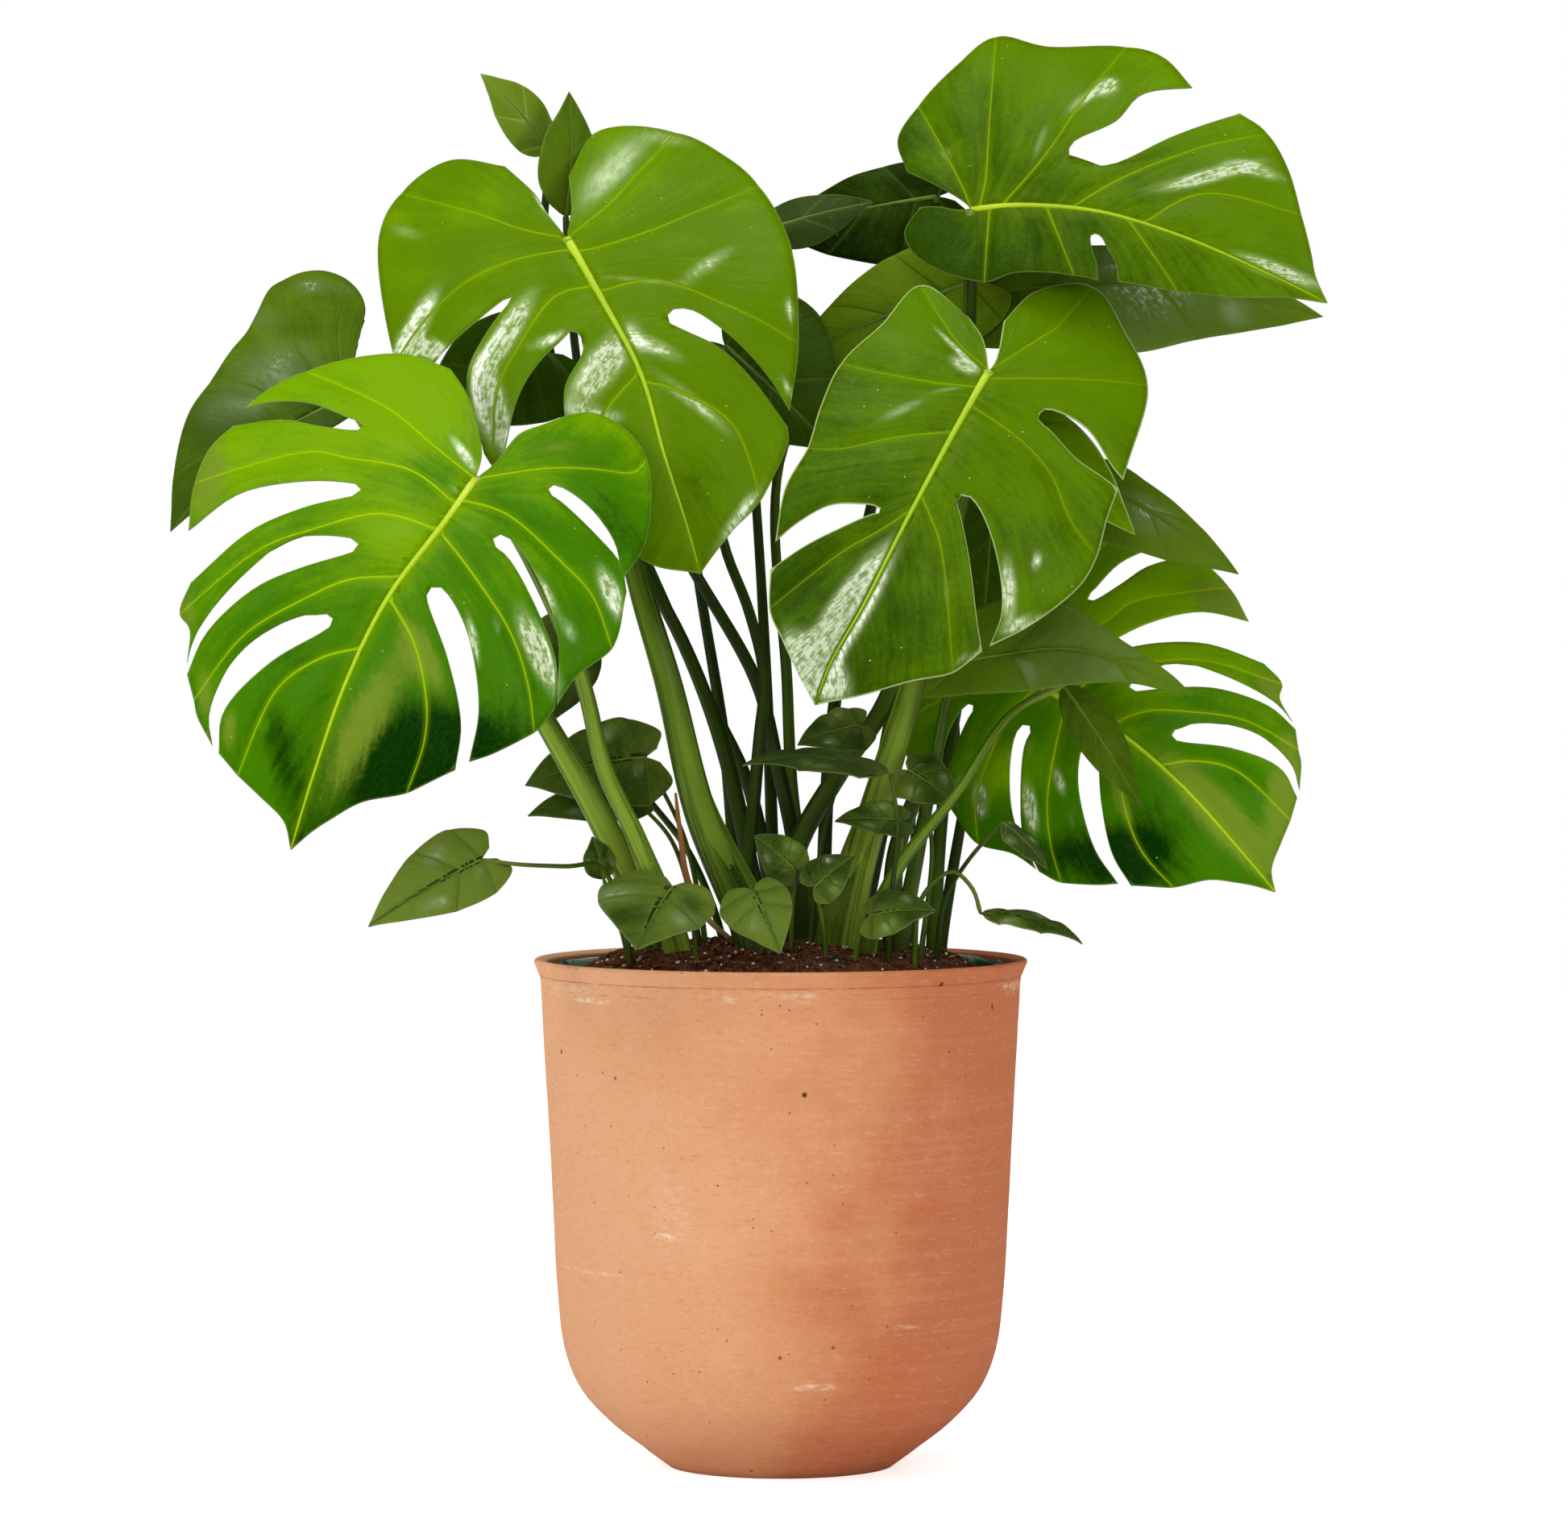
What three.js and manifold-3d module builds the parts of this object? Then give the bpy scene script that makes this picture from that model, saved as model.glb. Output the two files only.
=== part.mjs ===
// A potted monstera: a terracotta pot with a round belly, the thin nursery pot that stands in it,
// a mound of soil, and the leaves, each one with its stalk. Millimetres, +Z up. The origin is the
// middle of the pot's foot, on the floor, and the plant's front looks towards -Y.
import * as THREE from 'three';
import { mergeVertices } from 'three/addons/utils/BufferGeometryUtils.js';
import Module from 'manifold-3d';

const wasm = await Module();
wasm.setup();

// Terracotta pot
const RIM_RADIUS = 150;
const POT_HEIGHT = 308;
const FOOT_RADIUS = 68.4;
const WALL = 9;
const POT_FLOOR = 12;
const POT_SECTORS = 28;

// Nursery pot, which rests in the bowl of the terracotta pot
const NURSERY_RIM_RADIUS = 135;
const NURSERY_RIM_HEIGHT = 304;
const NURSERY_FOOT_RADIUS = 98;
const NURSERY_FOOT_HEIGHT = 37.5;
const NURSERY_WAIST = [120, 110];
const NURSERY_WALL = 1.2;

// Soil: radius and height of its mound, from the middle to the edge
const SOIL_MOUND = [[0, 321], [45, 320], [82, 317], [106, 311], [122, 301], [131.5, 290]];
const SEAT_GAP = 0.3;

// Stalks stand in plain holes in the soil
const STALK_DEPTH = 18;
const HOLE_CLEARANCE = 0.8;

// A stalk's radius falls from its foot to its blade by this power of the way along it
const STALK_TAPER = 1.4;

// Leaf blades, and the places along a big blade that its raised midrib passes through
const BIG_BLADE = 1.2;
const SMALL_BLADE = 0.9;
const RIDGE_PLACES = [-0.01, 0.08, 0.25, 0.45, 0.65, 0.85, 0.985];
const RIDGE_SIDES = 4;
const RIDGE_END = 0.75;

// ---------------------------------------------------------------- solids

function cleaned(geometry) {
  geometry.deleteAttribute('normal');
  geometry.deleteAttribute('uv');
  const merged = mergeVertices(geometry, 1e-4);
  const position = merged.attributes.position;
  const source = merged.index.array;
  const kept = [];
  for (let i = 0; i < source.length; i += 3) {
    const [a, b, c] = [source[i], source[i + 1], source[i + 2]];
    if (a !== b && b !== c && c !== a) {
      kept.push(a, b, c);
    }
  }
  const corner = [new THREE.Vector3(), new THREE.Vector3(), new THREE.Vector3()];
  let volume = 0;
  for (let i = 0; i < kept.length; i += 3) {
    corner.forEach((point, k) => point.fromBufferAttribute(position, kept[i + k]));
    volume += corner[0].dot(corner[1].cross(corner[2]));
  }
  if (volume < 0) {
    for (let i = 0; i < kept.length; i += 3) {
      [kept[i], kept[i + 1]] = [kept[i + 1], kept[i]];
    }
  }
  merged.setIndex(kept);
  return merged;
}

function solidOf(geometry) {
  const closed = cleaned(geometry);
  return new wasm.Manifold(new wasm.Mesh({
    numProp: 3,
    vertProperties: new Float32Array(closed.attributes.position.array),
    triVerts: new Uint32Array(closed.index.array),
  }));
}

function geometryOf(solid) {
  const mesh = solid.getMesh();
  const geometry = new THREE.BufferGeometry();
  geometry.setAttribute('position', new THREE.BufferAttribute(mesh.vertProperties, 3));
  geometry.setIndex(new THREE.BufferAttribute(mesh.triVerts, 1));
  return geometry;
}

function turned(profile, sectors) {
  const points = profile.map(([radius, height]) => new THREE.Vector2(radius, height));
  return new THREE.LatheGeometry(points, sectors).rotateX(Math.PI / 2);
}

// A tube along a curve, with a radius that changes from its start to its end
function tube(curve, radiusAt, sides, steps) {
  const geometry = new THREE.CylinderGeometry(1, 1, 1, sides, steps);
  const frames = curve.computeFrenetFrames(steps, false);
  const position = geometry.attributes.position;
  for (let i = 0; i < position.count; i++) {
    const along = position.getY(i) + 0.5;
    const row = Math.round(along * steps);
    const radius = radiusAt(along);
    const point = curve.getPointAt(along);
    point.addScaledVector(frames.normals[row], position.getX(i) * radius);
    point.addScaledVector(frames.binormals[row], position.getZ(i) * radius);
    position.setXYZ(i, point.x, point.y, point.z);
  }
  return geometry;
}

// ---------------------------------------------------------------- leaf shapes
// A shape is measured in hundredths of the blade's length: u runs from the base to the tip, and v
// to the side. Each half is a row of ribs from the first edge beside the base round to the tip. A
// rib starts at a station on the midrib and ends on the margin. A slot runs in from the margin to
// its root and has two lips, one for the finger before it and one for the finger after it.

const rib = (station, ...points) => ({ station, points });
const slot = (station, root, before, after) => ({ station, root, before, after });

const UPPER_LEFT = {
  mid: [[0, 0], [21, 2], [45, 4], [68, 2], [88, 1], [100, 0]],
  pos: [
    rib(0, [-8, 4], [-19, 7]),
    rib(0, [-13, 8], [-31, 19]),
    rib(0, [-6, 13], [-13, 23], [-24, 38]),
    rib(0, [1, 12], [-4, 29], [-12, 47]),
    rib(5, [6, 9], [5, 25], [0, 52]),
    rib(10, [13, 17], [16, 33], [21, 53]),
    rib(19, [21, 17], [33, 31], [49, 45]),
    slot(29, [32, 16], [[32, 22], [41, 28], [56, 34], [67, 36]], [[37, 18], [45, 25], [56, 30], [71, 34]]),
    rib(37, [43, 14], [56, 24], [76, 32]),
    rib(48, [52, 10], [66, 21], [87, 21]),
    rib(67, [76, 8], [93, 11]),
    rib(84, [91, 2], [98, 3]),
  ],
  neg: [
    rib(0, [-9, -2], [-17, -3], [-29, -7]),
    rib(0, [-12, -5], [-25, -11], [-38, -19]),
    rib(0, [-7, -9], [-18, -19], [-34, -34]),
    rib(2, [-5, -10], [-11, -23], [-22, -44]),
    rib(4, [1, -14], [2, -28], [9, -43], [16, -52]),
    slot(12, [12, -19], [[13, -24], [15, -29], [19, -39], [26, -50]], [[14, -21], [20, -29], [29, -37], [51, -40]]),
    rib(17, [16, -9], [26, -22], [37, -32], [55, -39]),
    slot(25, [29, -7], [[29, -11], [33, -19], [40, -27], [56, -37]], [[35, -8], [42, -15], [50, -18], [56, -19]]),
    rib(45, [50, -5], [57, -13], [68, -20]),
    rib(61, [70, -6], [82, -18]),
    rib(80, [88, -5], [94, -11]),
  ],
};

const SPLIT = {
  mid: [[0, 0], [15, -1], [38, -4], [60, -4], [82, -2], [100, 0]],
  neg: [
    rib(0, [-8, -2], [-21, -11], [-29, -20]),
    rib(0, [-13, -10], [-23, -20], [-29, -33]),
    rib(0, [-5, -13], [-12, -29], [-16, -51]),
    rib(3, [-4, -20], [-9, -40], [-6, -57]),
    slot(6, [-4, -30], [[-5, -34], [-6, -45], [-3, -55], [0, -59]], [[-2, -31], [0, -41], [1, -49], [6, -59]]),
    rib(7, [2, -22], [5, -41], [14, -61]),
    rib(9, [4, -14], [6, -29], [8, -40], [24, -60]),
    slot(13, [14, -22], [[13, -25], [16, -35], [24, -48], [37, -55]], [[17, -24], [23, -32], [33, -41], [50, -48]]),
    rib(17, [18, -15], [27, -27], [37, -37], [58, -47]),
    rib(22, [23, -16], [29, -28], [41, -38], [61, -43]),
    slot(27, [28, -16], [[27, -18], [31, -30], [44, -37], [62, -41], [69, -40]],
      [[30, -16], [38, -25], [47, -33], [61, -39], [71, -39]]),
    rib(32, [37, -14], [46, -22], [59, -31], [76, -35]),
    rib(39, [45, -15], [55, -26], [67, -32], [80, -32]),
    slot(46, [48, -13], [[48, -16], [51, -22], [64, -30], [78, -30], [85, -26]],
      [[52, -14], [63, -22], [77, -27], [86, -24]]),
    rib(52, [58, -12], [69, -18], [89, -18]),
    rib(64, [75, -8], [92, -11]),
    rib(80, [88, -3], [95, -4]),
  ],
  pos: [
    rib(0, [-6, 2], [-16, 3], [-20, 5]),
    rib(0, [-10, 5], [-20, 11], [-32, 15]),
    rib(0, [-10, 12], [-16, 22], [-20, 30], [-26, 31]),
    rib(3, [-6, 10], [-11, 20], [-10, 30], [-4, 41]),
    slot(5, [-5, 16], [[-7, 18], [-5, 26], [1, 35], [10, 41]], [[-3, 20], [2, 32], [6, 39], [12, 43]]),
    rib(7, [6, 11], [12, 27], [17, 37], [27, 46]),
    rib(10, [11, 13], [19, 28], [31, 38], [38, 42]),
    slot(13, [14, 11], [[12, 14], [17, 22], [30, 34], [46, 41]], [[17, 16], [27, 28], [37, 37], [47, 41]]),
    rib(17, [24, 10], [34, 24], [44, 33], [54, 39]),
    rib(23, [29, 10], [39, 22], [51, 29], [63, 33]),
    slot(27, [32, 4], [[32, 8], [39, 16], [55, 26], [67, 29]], [[36, 5], [47, 15], [60, 24], [70, 27]]),
    rib(38, [46, 6], [57, 14], [67, 18], [79, 19]),
    rib(52, [62, 5], [72, 9], [85, 11]),
    rib(68, [77, 3], [91, 6]),
    rib(83, [89, 1], [95, 3]),
  ],
};

const MIDDLE_RIGHT = {
  mid: [[0, 0], [20, 0], [50, 0], [73, 0], [89, -1], [100, 0]],
  neg: [
    rib(0, [-8, -5], [-13, -11]),
    rib(0, [-5, -11], [-18, -26]),
    rib(0, [-1, -14], [-1, -29]),
    rib(6, [10, -11], [13, -25], [14, -33]),
    rib(13, [20, -14], [28, -32]),
    rib(21, [29, -12], [37, -22], [40, -30]),
    rib(33, [41, -13], [53, -30]),
    slot(42, [49, -7], [[50, -12], [53, -18], [60, -23], [67, -26]], [[51, -8], [57, -13], [65, -19], [74, -24]]),
    rib(45, [53, -4], [64, -11], [83, -20]),
    rib(57, [70, -4], [89, -14]),
    rib(72, [83, -3], [95, -7]),
  ],
  pos: [
    rib(0, [-5, 0], [-16, -3]),
    rib(0, [-12, 2], [-30, 0]),
    rib(0, [-17, 7], [-23, 9], [-40, 11]),
    rib(0, [-14, 14], [-30, 24]),
    rib(3, [-4, 11], [-12, 24], [-18, 35]),
    slot(7, [6, 16], [[3, 20], [4, 28], [10, 37], [12, 41]], [[9, 20], [13, 29], [14, 36], [15, 41]]),
    rib(10, [15, 18], [19, 31], [24, 42]),
    rib(12, [15, 14], [20, 25], [29, 34], [35, 44]),
    rib(22, [28, 17], [39, 33], [47, 43]),
    rib(28, [37, 20], [50, 31], [60, 37]),
    slot(33, [37, 9], [[39, 15], [49, 24], [60, 30], [69, 31]], [[42, 11], [52, 18], [65, 26], [71, 30]]),
    rib(41, [50, 9], [61, 16], [79, 26]),
    rib(57, [70, 10], [86, 18]),
    rib(77, [86, 6], [94, 9]),
  ],
};

const UPPER_RIGHT = {
  mid: [[0, 0], [13, 4], [34, 7], [57, 6], [80, 3], [100, 0]],
  pos: [
    rib(0, [-3, 2], [-11, 5], [-21, 8]),
    rib(0, [-12, 10], [-27, 18]),
    rib(0, [-5, 7], [-16, 20], [-25, 30]),
    rib(0, [-4, 15], [-13, 33], [-19, 46]),
    rib(2, [1, 10], [-4, 29], [-12, 59]),
    rib(5, [7, 23], [6, 43], [4, 58]),
    rib(8, [14, 19], [19, 41], [24, 64]),
    rib(13, [20, 27], [27, 44], [36, 62]),
    slot(18, [21, 22], [[21, 27], [30, 36], [34, 47], [46, 54]], [[24, 19], [33, 22], [46, 36], [61, 49]]),
    rib(27, [38, 20], [54, 35], [70, 45]),
    rib(38, [50, 18], [65, 30], [79, 35]),
    rib(47, [60, 21], [86, 23]),
    rib(64, [77, 11], [92, 12]),
    rib(80, [88, 5], [95, 6]),
  ],
  neg: [
    rib(0, [-4, -1], [-9, -1], [-14, -2]),
    rib(0, [-6, -6], [-16, -10]),
    rib(0, [-3, -10], [-11, -16]),
    rib(2, [4, -11], [1, -20]),
    rib(5, [8, -12], [10, -20]),
    rib(12, [17, -6], [18, -16]),
    rib(20, [31, -10], [33, -13]),
    slot(28, [35, 0], [[36, -5], [38, -8], [40, -13]], [[40, -4], [43, -7], [45, -12]]),
    rib(42, [57, -6], [61, -10]),
    rib(59, [69, -1], [77, -7]),
    rib(75, [83, 0], [88, -3]),
  ],
};

const FAR_LEFT = {
  mid: [[0, 0], [15, -1], [35, -3], [57, -4], [80, -3], [100, 0]],
  neg: [
    rib(0, [-11, -8], [-24, -22]),
    rib(0, [-22, -20], [-46, -39]),
    rib(0, [-25, -33], [-57, -60]),
    rib(0, [-12, -29], [-37, -60], [-55, -78]),
    rib(0, [-4, -36], [-37, -83]),
    rib(9, [11, -27], [7, -58]),
    rib(26, [26, -31], [37, -46]),
    rib(44, [45, -22], [59, -36]),
    rib(61, [66, -16], [81, -19]),
    rib(80, [86, -6], [94, -6]),
  ],
  pos: [
    rib(0, [-1, 4], [-5, 9]),
    rib(9, [10, 5], [12, 10]),
    rib(26, [28, 4], [31, 9]),
    rib(44, [49, 3], [51, 8]),
    rib(61, [66, 1], [69, 4]),
    rib(80, [84, 0], [87, 1]),
  ],
};

const UNDER_RIGHT = {
  mid: [[0, 0], [25, 3], [50, 5], [75, 3], [91, 1], [100, 0]],
  neg: [
    rib(0, [-2, -3], [-3, -7]),
    rib(0, [2, -8], [1, -14]),
    rib(7, [14, -9], [14, -16]),
    rib(20, [28, -8], [31, -17]),
    rib(36, [45, -7], [48, -16]),
    rib(52, [59, -4], [64, -11]),
    rib(66, [71, -3], [76, -8]),
    rib(79, [85, -2], [89, -4]),
  ],
  pos: [
    rib(0, [-3, 2], [-6, 4]),
    rib(0, [-1, 5], [-4, 9]),
    rib(7, [11, 8], [11, 13]),
    rib(20, [28, 10], [30, 15]),
    rib(36, [45, 11], [50, 15]),
    rib(52, [61, 9], [68, 12]),
    rib(66, [77, 6], [83, 8]),
    rib(79, [88, 3], [92, 4]),
  ],
};

const BELOW_RIGHT = {
  mid: [[0, 0], [21, 5], [44, 10], [66, 8], [84, 3], [100, 0]],
  neg: [
    rib(0, [-6, -5], [-11, -9]),
    rib(0, [-7, -11], [-13, -16]),
    rib(4, [8, -8], [10, -15]),
    rib(20, [27, -3], [32, -12]),
    rib(44, [50, 1], [55, -6]),
    rib(66, [71, 3], [75, -2]),
    rib(84, [88, 0], [90, -2]),
  ],
  pos: [
    rib(0, [-5, 4], [-9, 9]),
    rib(0, [-1, 12], [-1, 22]),
    rib(4, [13, 18], [19, 34]),
    rib(20, [33, 22], [42, 34]),
    rib(44, [54, 17], [61, 22]),
    rib(66, [76, 10], [80, 12]),
    rib(84, [90, 3], [93, 5]),
  ],
};

const HEART_HALF = [
  rib(0, [-5, -2], [-10, -5]),
  rib(0, [-10, -9], [-18, -19]),
  rib(0, [-5, -16], [-9, -34]),
  rib(4, [4, -20], [8, -42]),
  rib(12, [20, -22], [28, -43]),
  rib(26, [38, -20], [48, -37]),
  rib(42, [55, -15], [68, -26]),
  rib(66, [76, -8], [86, -12]),
];

const SMALL_HEART_HALF = [
  rib(0, [-5, -3], [-11, -7]),
  rib(0, [-10, -12], [-17, -25]),
  rib(0, [2, -21], [6, -42]),
  rib(20, [31, -21], [41, -39]),
  rib(50, [63, -12], [75, -20]),
];

const OVAL_HALF = [
  rib(0, [1, -3], [2, -7]),
  rib(2, [6, -10], [9, -20]),
  rib(8, [17, -16], [24, -30]),
  rib(22, [34, -17], [43, -33]),
  rib(38, [52, -14], [64, -26]),
  rib(60, [72, -8], [84, -12]),
];

const across = ([u, v]) => [u, -v];

const mirroredHalf = (half) => half.map((row) => (row.root
  ? slot(row.station, across(row.root), row.before.map(across), row.after.map(across))
  : rib(row.station, ...row.points.map(across))));

const mirrored = (shape) => ({
  mid: shape.mid.map(across),
  neg: mirroredHalf(shape.pos),
  pos: mirroredHalf(shape.neg),
});

const STRAIGHT = [[0, 0], [50, 0], [100, 0]];
const HEART = { mid: STRAIGHT, neg: HEART_HALF, pos: mirroredHalf(HEART_HALF) };
const SMALL_HEART = { mid: STRAIGHT, neg: SMALL_HEART_HALF, pos: mirroredHalf(SMALL_HEART_HALF) };
const OVAL = { mid: STRAIGHT, neg: OVAL_HALF, pos: mirroredHalf(OVAL_HALF) };

// ---------------------------------------------------------------- one leaf

const fraction = ([u, v]) => new THREE.Vector2(u / 100, v / 100);
const spline = (points) => new THREE.SplineCurve(points);

// One rib as a row of evenly spaced points
function ribRow(midrib, { station, points }, cells) {
  const start = midrib.getPointAt(station / 100);
  return spline([start, ...points.map(fraction)]).getSpacedPoints(cells);
}

// The two rows beside a slot: they share the way to its root and then part along its lips
function slotRows(midrib, { station, root, before, after }, cells) {
  const stem = spline([midrib.getPointAt(station / 100), fraction(root)]);
  const lips = [before, after].map((lip) => spline([fraction(root), ...lip.map(fraction)]));
  const share = stem.getLength() / (stem.getLength() + lips[0].getLength());
  const stemCells = THREE.MathUtils.clamp(Math.round(cells * share), 1, cells - 1);
  const stemPoints = stem.getSpacedPoints(stemCells);
  return lips.map((lip) => [...stemPoints, ...lip.getSpacedPoints(cells - stemCells).slice(1)]);
}

// The fingers of one half, each a list of rows of points
function fingers(shape, half, cells) {
  const midrib = spline(shape.mid.map(fraction));
  const tip = midrib.getPointAt(1);
  const list = [[]];
  for (const row of half) {
    if (row.root) {
      const [before, after] = slotRows(midrib, row, cells);
      list.at(-1).push(before);
      list.push([after]);
    } else {
      list.at(-1).push(ribRow(midrib, row, cells));
    }
  }
  list.at(-1).push(Array(cells + 1).fill(tip));
  return list;
}

function doubledArea([p, q, r]) {
  return (q.x - p.x) * (r.y - p.y) - (r.x - p.x) * (q.y - p.y);
}

// The flat net of one or both halves: its points, those of them that lie on the midrib, and its
// triangles, all turned the same way
function net(shape, sides, cells) {
  const points = [];
  const numberOf = new Map();
  const spine = new Set();
  const add = (point) => {
    const key = `${Math.round(point.x * 1e5)},${Math.round(point.y * 1e5)}`;
    if (!numberOf.has(key)) {
      numberOf.set(key, points.push(point) - 1);
    }
    return numberOf.get(key);
  };
  const triangles = sides.flatMap((side) => {
    const list = [];
    const triangle = (a, b, c) => {
      if (a !== b && b !== c && c !== a) {
        list.push([a, b, c]);
      }
    };
    for (const finger of fingers(shape, shape[side], cells)) {
      for (let i = 1; i < finger.length; i++) {
        for (let j = 0; j < cells; j++) {
          const [a, b] = [add(finger[i - 1][j]), add(finger[i - 1][j + 1])];
          const [c, d] = [add(finger[i][j]), add(finger[i][j + 1])];
          triangle(a, b, c);
          triangle(b, d, c);
        }
        spine.add(add(finger[i - 1][0]));
      }
    }
    const total = list.reduce((sum, corners) => (
      sum + doubledArea(corners.map((corner) => points[corner]))), 0);
    return total > 0 ? list : list.map(([a, b, c]) => [a, c, b]);
  });
  return { points, spine, triangles };
}

// The bent surface that a blade's flat net is laid on
function bladeSurface({ base, tip, face, arch, dome, width }) {
  const origin = new THREE.Vector3(...base);
  const length = origin.distanceTo(new THREE.Vector3(...tip));
  const alongBlade = new THREE.Vector3(...tip).sub(origin).normalize();
  const up = new THREE.Vector3(...face);
  up.addScaledVector(alongBlade, -up.dot(alongBlade)).normalize();
  const toSide = up.clone().cross(alongBlade);
  return ({ x: u, y }) => {
    const v = y * (y < 0 ? width[0] : width[1]);
    const lift = 4 * arch * u * (1 - u) - dome * v * v;
    return origin.clone()
      .addScaledVector(alongBlade, u * length)
      .addScaledVector(toSide, v * length)
      .addScaledVector(up, lift * length);
  };
}

// A blade, or one half of it, as a closed sheet, thicker below its midrib where keel says so
function sheet({ shape, thickness, keel, cells }, sides, surface) {
  const { points, spine, triangles } = net(shape, sides, cells);
  const middle = points.map(surface);
  const normals = middle.map(() => new THREE.Vector3());
  const edges = new Map();
  for (const [a, b, c] of triangles) {
    const cross = middle[b].clone().sub(middle[a]).cross(middle[c].clone().sub(middle[a]));
    for (const [from, to] of [[a, b], [b, c], [c, a]]) {
      normals[from].add(cross);
      if (!edges.delete(`${to},${from}`)) {
        edges.set(`${from},${to}`, [from, to]);
      }
    }
  }
  normals.forEach((normal) => normal.normalize());
  const upper = middle.map((point, i) => point.clone().addScaledVector(normals[i], thickness / 2));
  const lower = middle.map((point, i) => {
    const extra = spine.has(i) ? keel * (1 - points[i].x) : 0;
    return point.clone().addScaledVector(normals[i], -thickness / 2 - extra);
  });
  const vertices = [...upper, ...lower].flatMap((point) => point.toArray());
  const under = points.length;
  const index = triangles.flatMap(([a, b, c]) => [a, b, c, under + a, under + c, under + b]);
  for (const [a, b] of edges.values()) {
    index.push(a, under + a, under + b, a, under + b, b);
  }
  const geometry = new THREE.BufferGeometry();
  geometry.setAttribute('position', new THREE.Float32BufferAttribute(vertices, 3));
  geometry.setIndex(index);
  return geometry;
}

function soilHeight(x, y) {
  const radius = Math.hypot(x, y);
  const outer = SOIL_MOUND.findIndex(([edge]) => edge >= radius);
  const [r0, z0] = SOIL_MOUND[outer - 1];
  const [r1, z1] = SOIL_MOUND[outer];
  return THREE.MathUtils.mapLinear(radius, r0, r1, z0, z1);
}

// A stalk from its foot in the soil up to a blade, thicker at its foot. The hole that it stands
// in is the same stalk with room around it.
function stalk({ foot, via, radii, base, sides, steps }, room = 0) {
  const [x, y] = foot;
  const ground = soilHeight(x, y);
  const curve = new THREE.CatmullRomCurve3([
    [x, y, ground - STALK_DEPTH - (room ? SEAT_GAP : 0)],
    [x, y, ground + 1],
    ...via,
    base,
  ].map((point) => new THREE.Vector3(...point)));
  const [thick, thin] = radii;
  const radiusAt = (along) => room + thin + (thick - thin) * (1 - along) ** STALK_TAPER;
  return solidOf(tube(curve, radiusAt, sides, steps));
}

// A big leaf's midrib is a ridge of its own, and its two halves join along it
function leafSolid(leaf) {
  const surface = bladeSurface(leaf);
  if (!leaf.ridge) {
    return solidOf(sheet(leaf, ['neg', 'pos'], surface)).add(stalk(leaf));
  }
  const midrib = spline(leaf.shape.mid.map(fraction));
  const ridge = new THREE.CatmullRomCurve3(RIDGE_PLACES.map((u) => (
    surface(u < 0 ? new THREE.Vector2(u, 0) : midrib.getPointAt(u)))));
  const end = leaf.thickness * RIDGE_END;
  const ridgeRadius = (along) => THREE.MathUtils.lerp(leaf.ridge, end, along);
  const ridgeSteps = RIDGE_PLACES.length - 1;
  const solid = solidOf(sheet(leaf, ['neg'], surface))
    .add(solidOf(sheet(leaf, ['pos'], surface)))
    .add(solidOf(tube(ridge, ridgeRadius, RIDGE_SIDES, ridgeSteps)))
    .add(stalk(leaf));
  return leaf.shoot ? solid.add(shootSolid(leaf.shoot)) : solid;
}

// A young leaf, still folded, that grows from the stalk of an older one
function shootSolid(shoot) {
  const curve = new THREE.CatmullRomCurve3(
    [...shoot.path, shoot.base].map((point) => new THREE.Vector3(...point)));
  const [thick, thin] = shoot.radii;
  const radiusAt = (along) => THREE.MathUtils.lerp(thick, thin, along);
  return solidOf(sheet(shoot, ['neg', 'pos'], bladeSurface(shoot)))
    .add(solidOf(tube(curve, radiusAt, shoot.sides, shoot.steps)));
}

// ---------------------------------------------------------------- the leaves
// base and tip are the blade's ends, face is the way its top side looks, arch and dome are how far
// it bends along and across, and width stretches its two halves. foot is where the stalk enters
// the soil, via are points that it passes, and radii are its radius at the soil and at the blade.

const big = {
  thickness: BIG_BLADE, cells: 4, arch: 0.06, dome: 0.3, width: [1, 1], ridge: 3, keel: 0,
  sides: 6, steps: 8, colour: 0x4f7f0c,
};
const medium = {
  thickness: SMALL_BLADE, cells: 3, arch: 0.06, dome: 0.3, width: [1, 1], keel: 1.5,
  sides: 5, steps: 7, colour: 0x3a5f14,
};
const small = {
  thickness: SMALL_BLADE, cells: 2, arch: 0.08, dome: 0.4, width: [1, 1], keel: 0.6,
  sides: 4, steps: 4, colour: 0x426a1c, radii: [2, 1.2],
};

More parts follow.
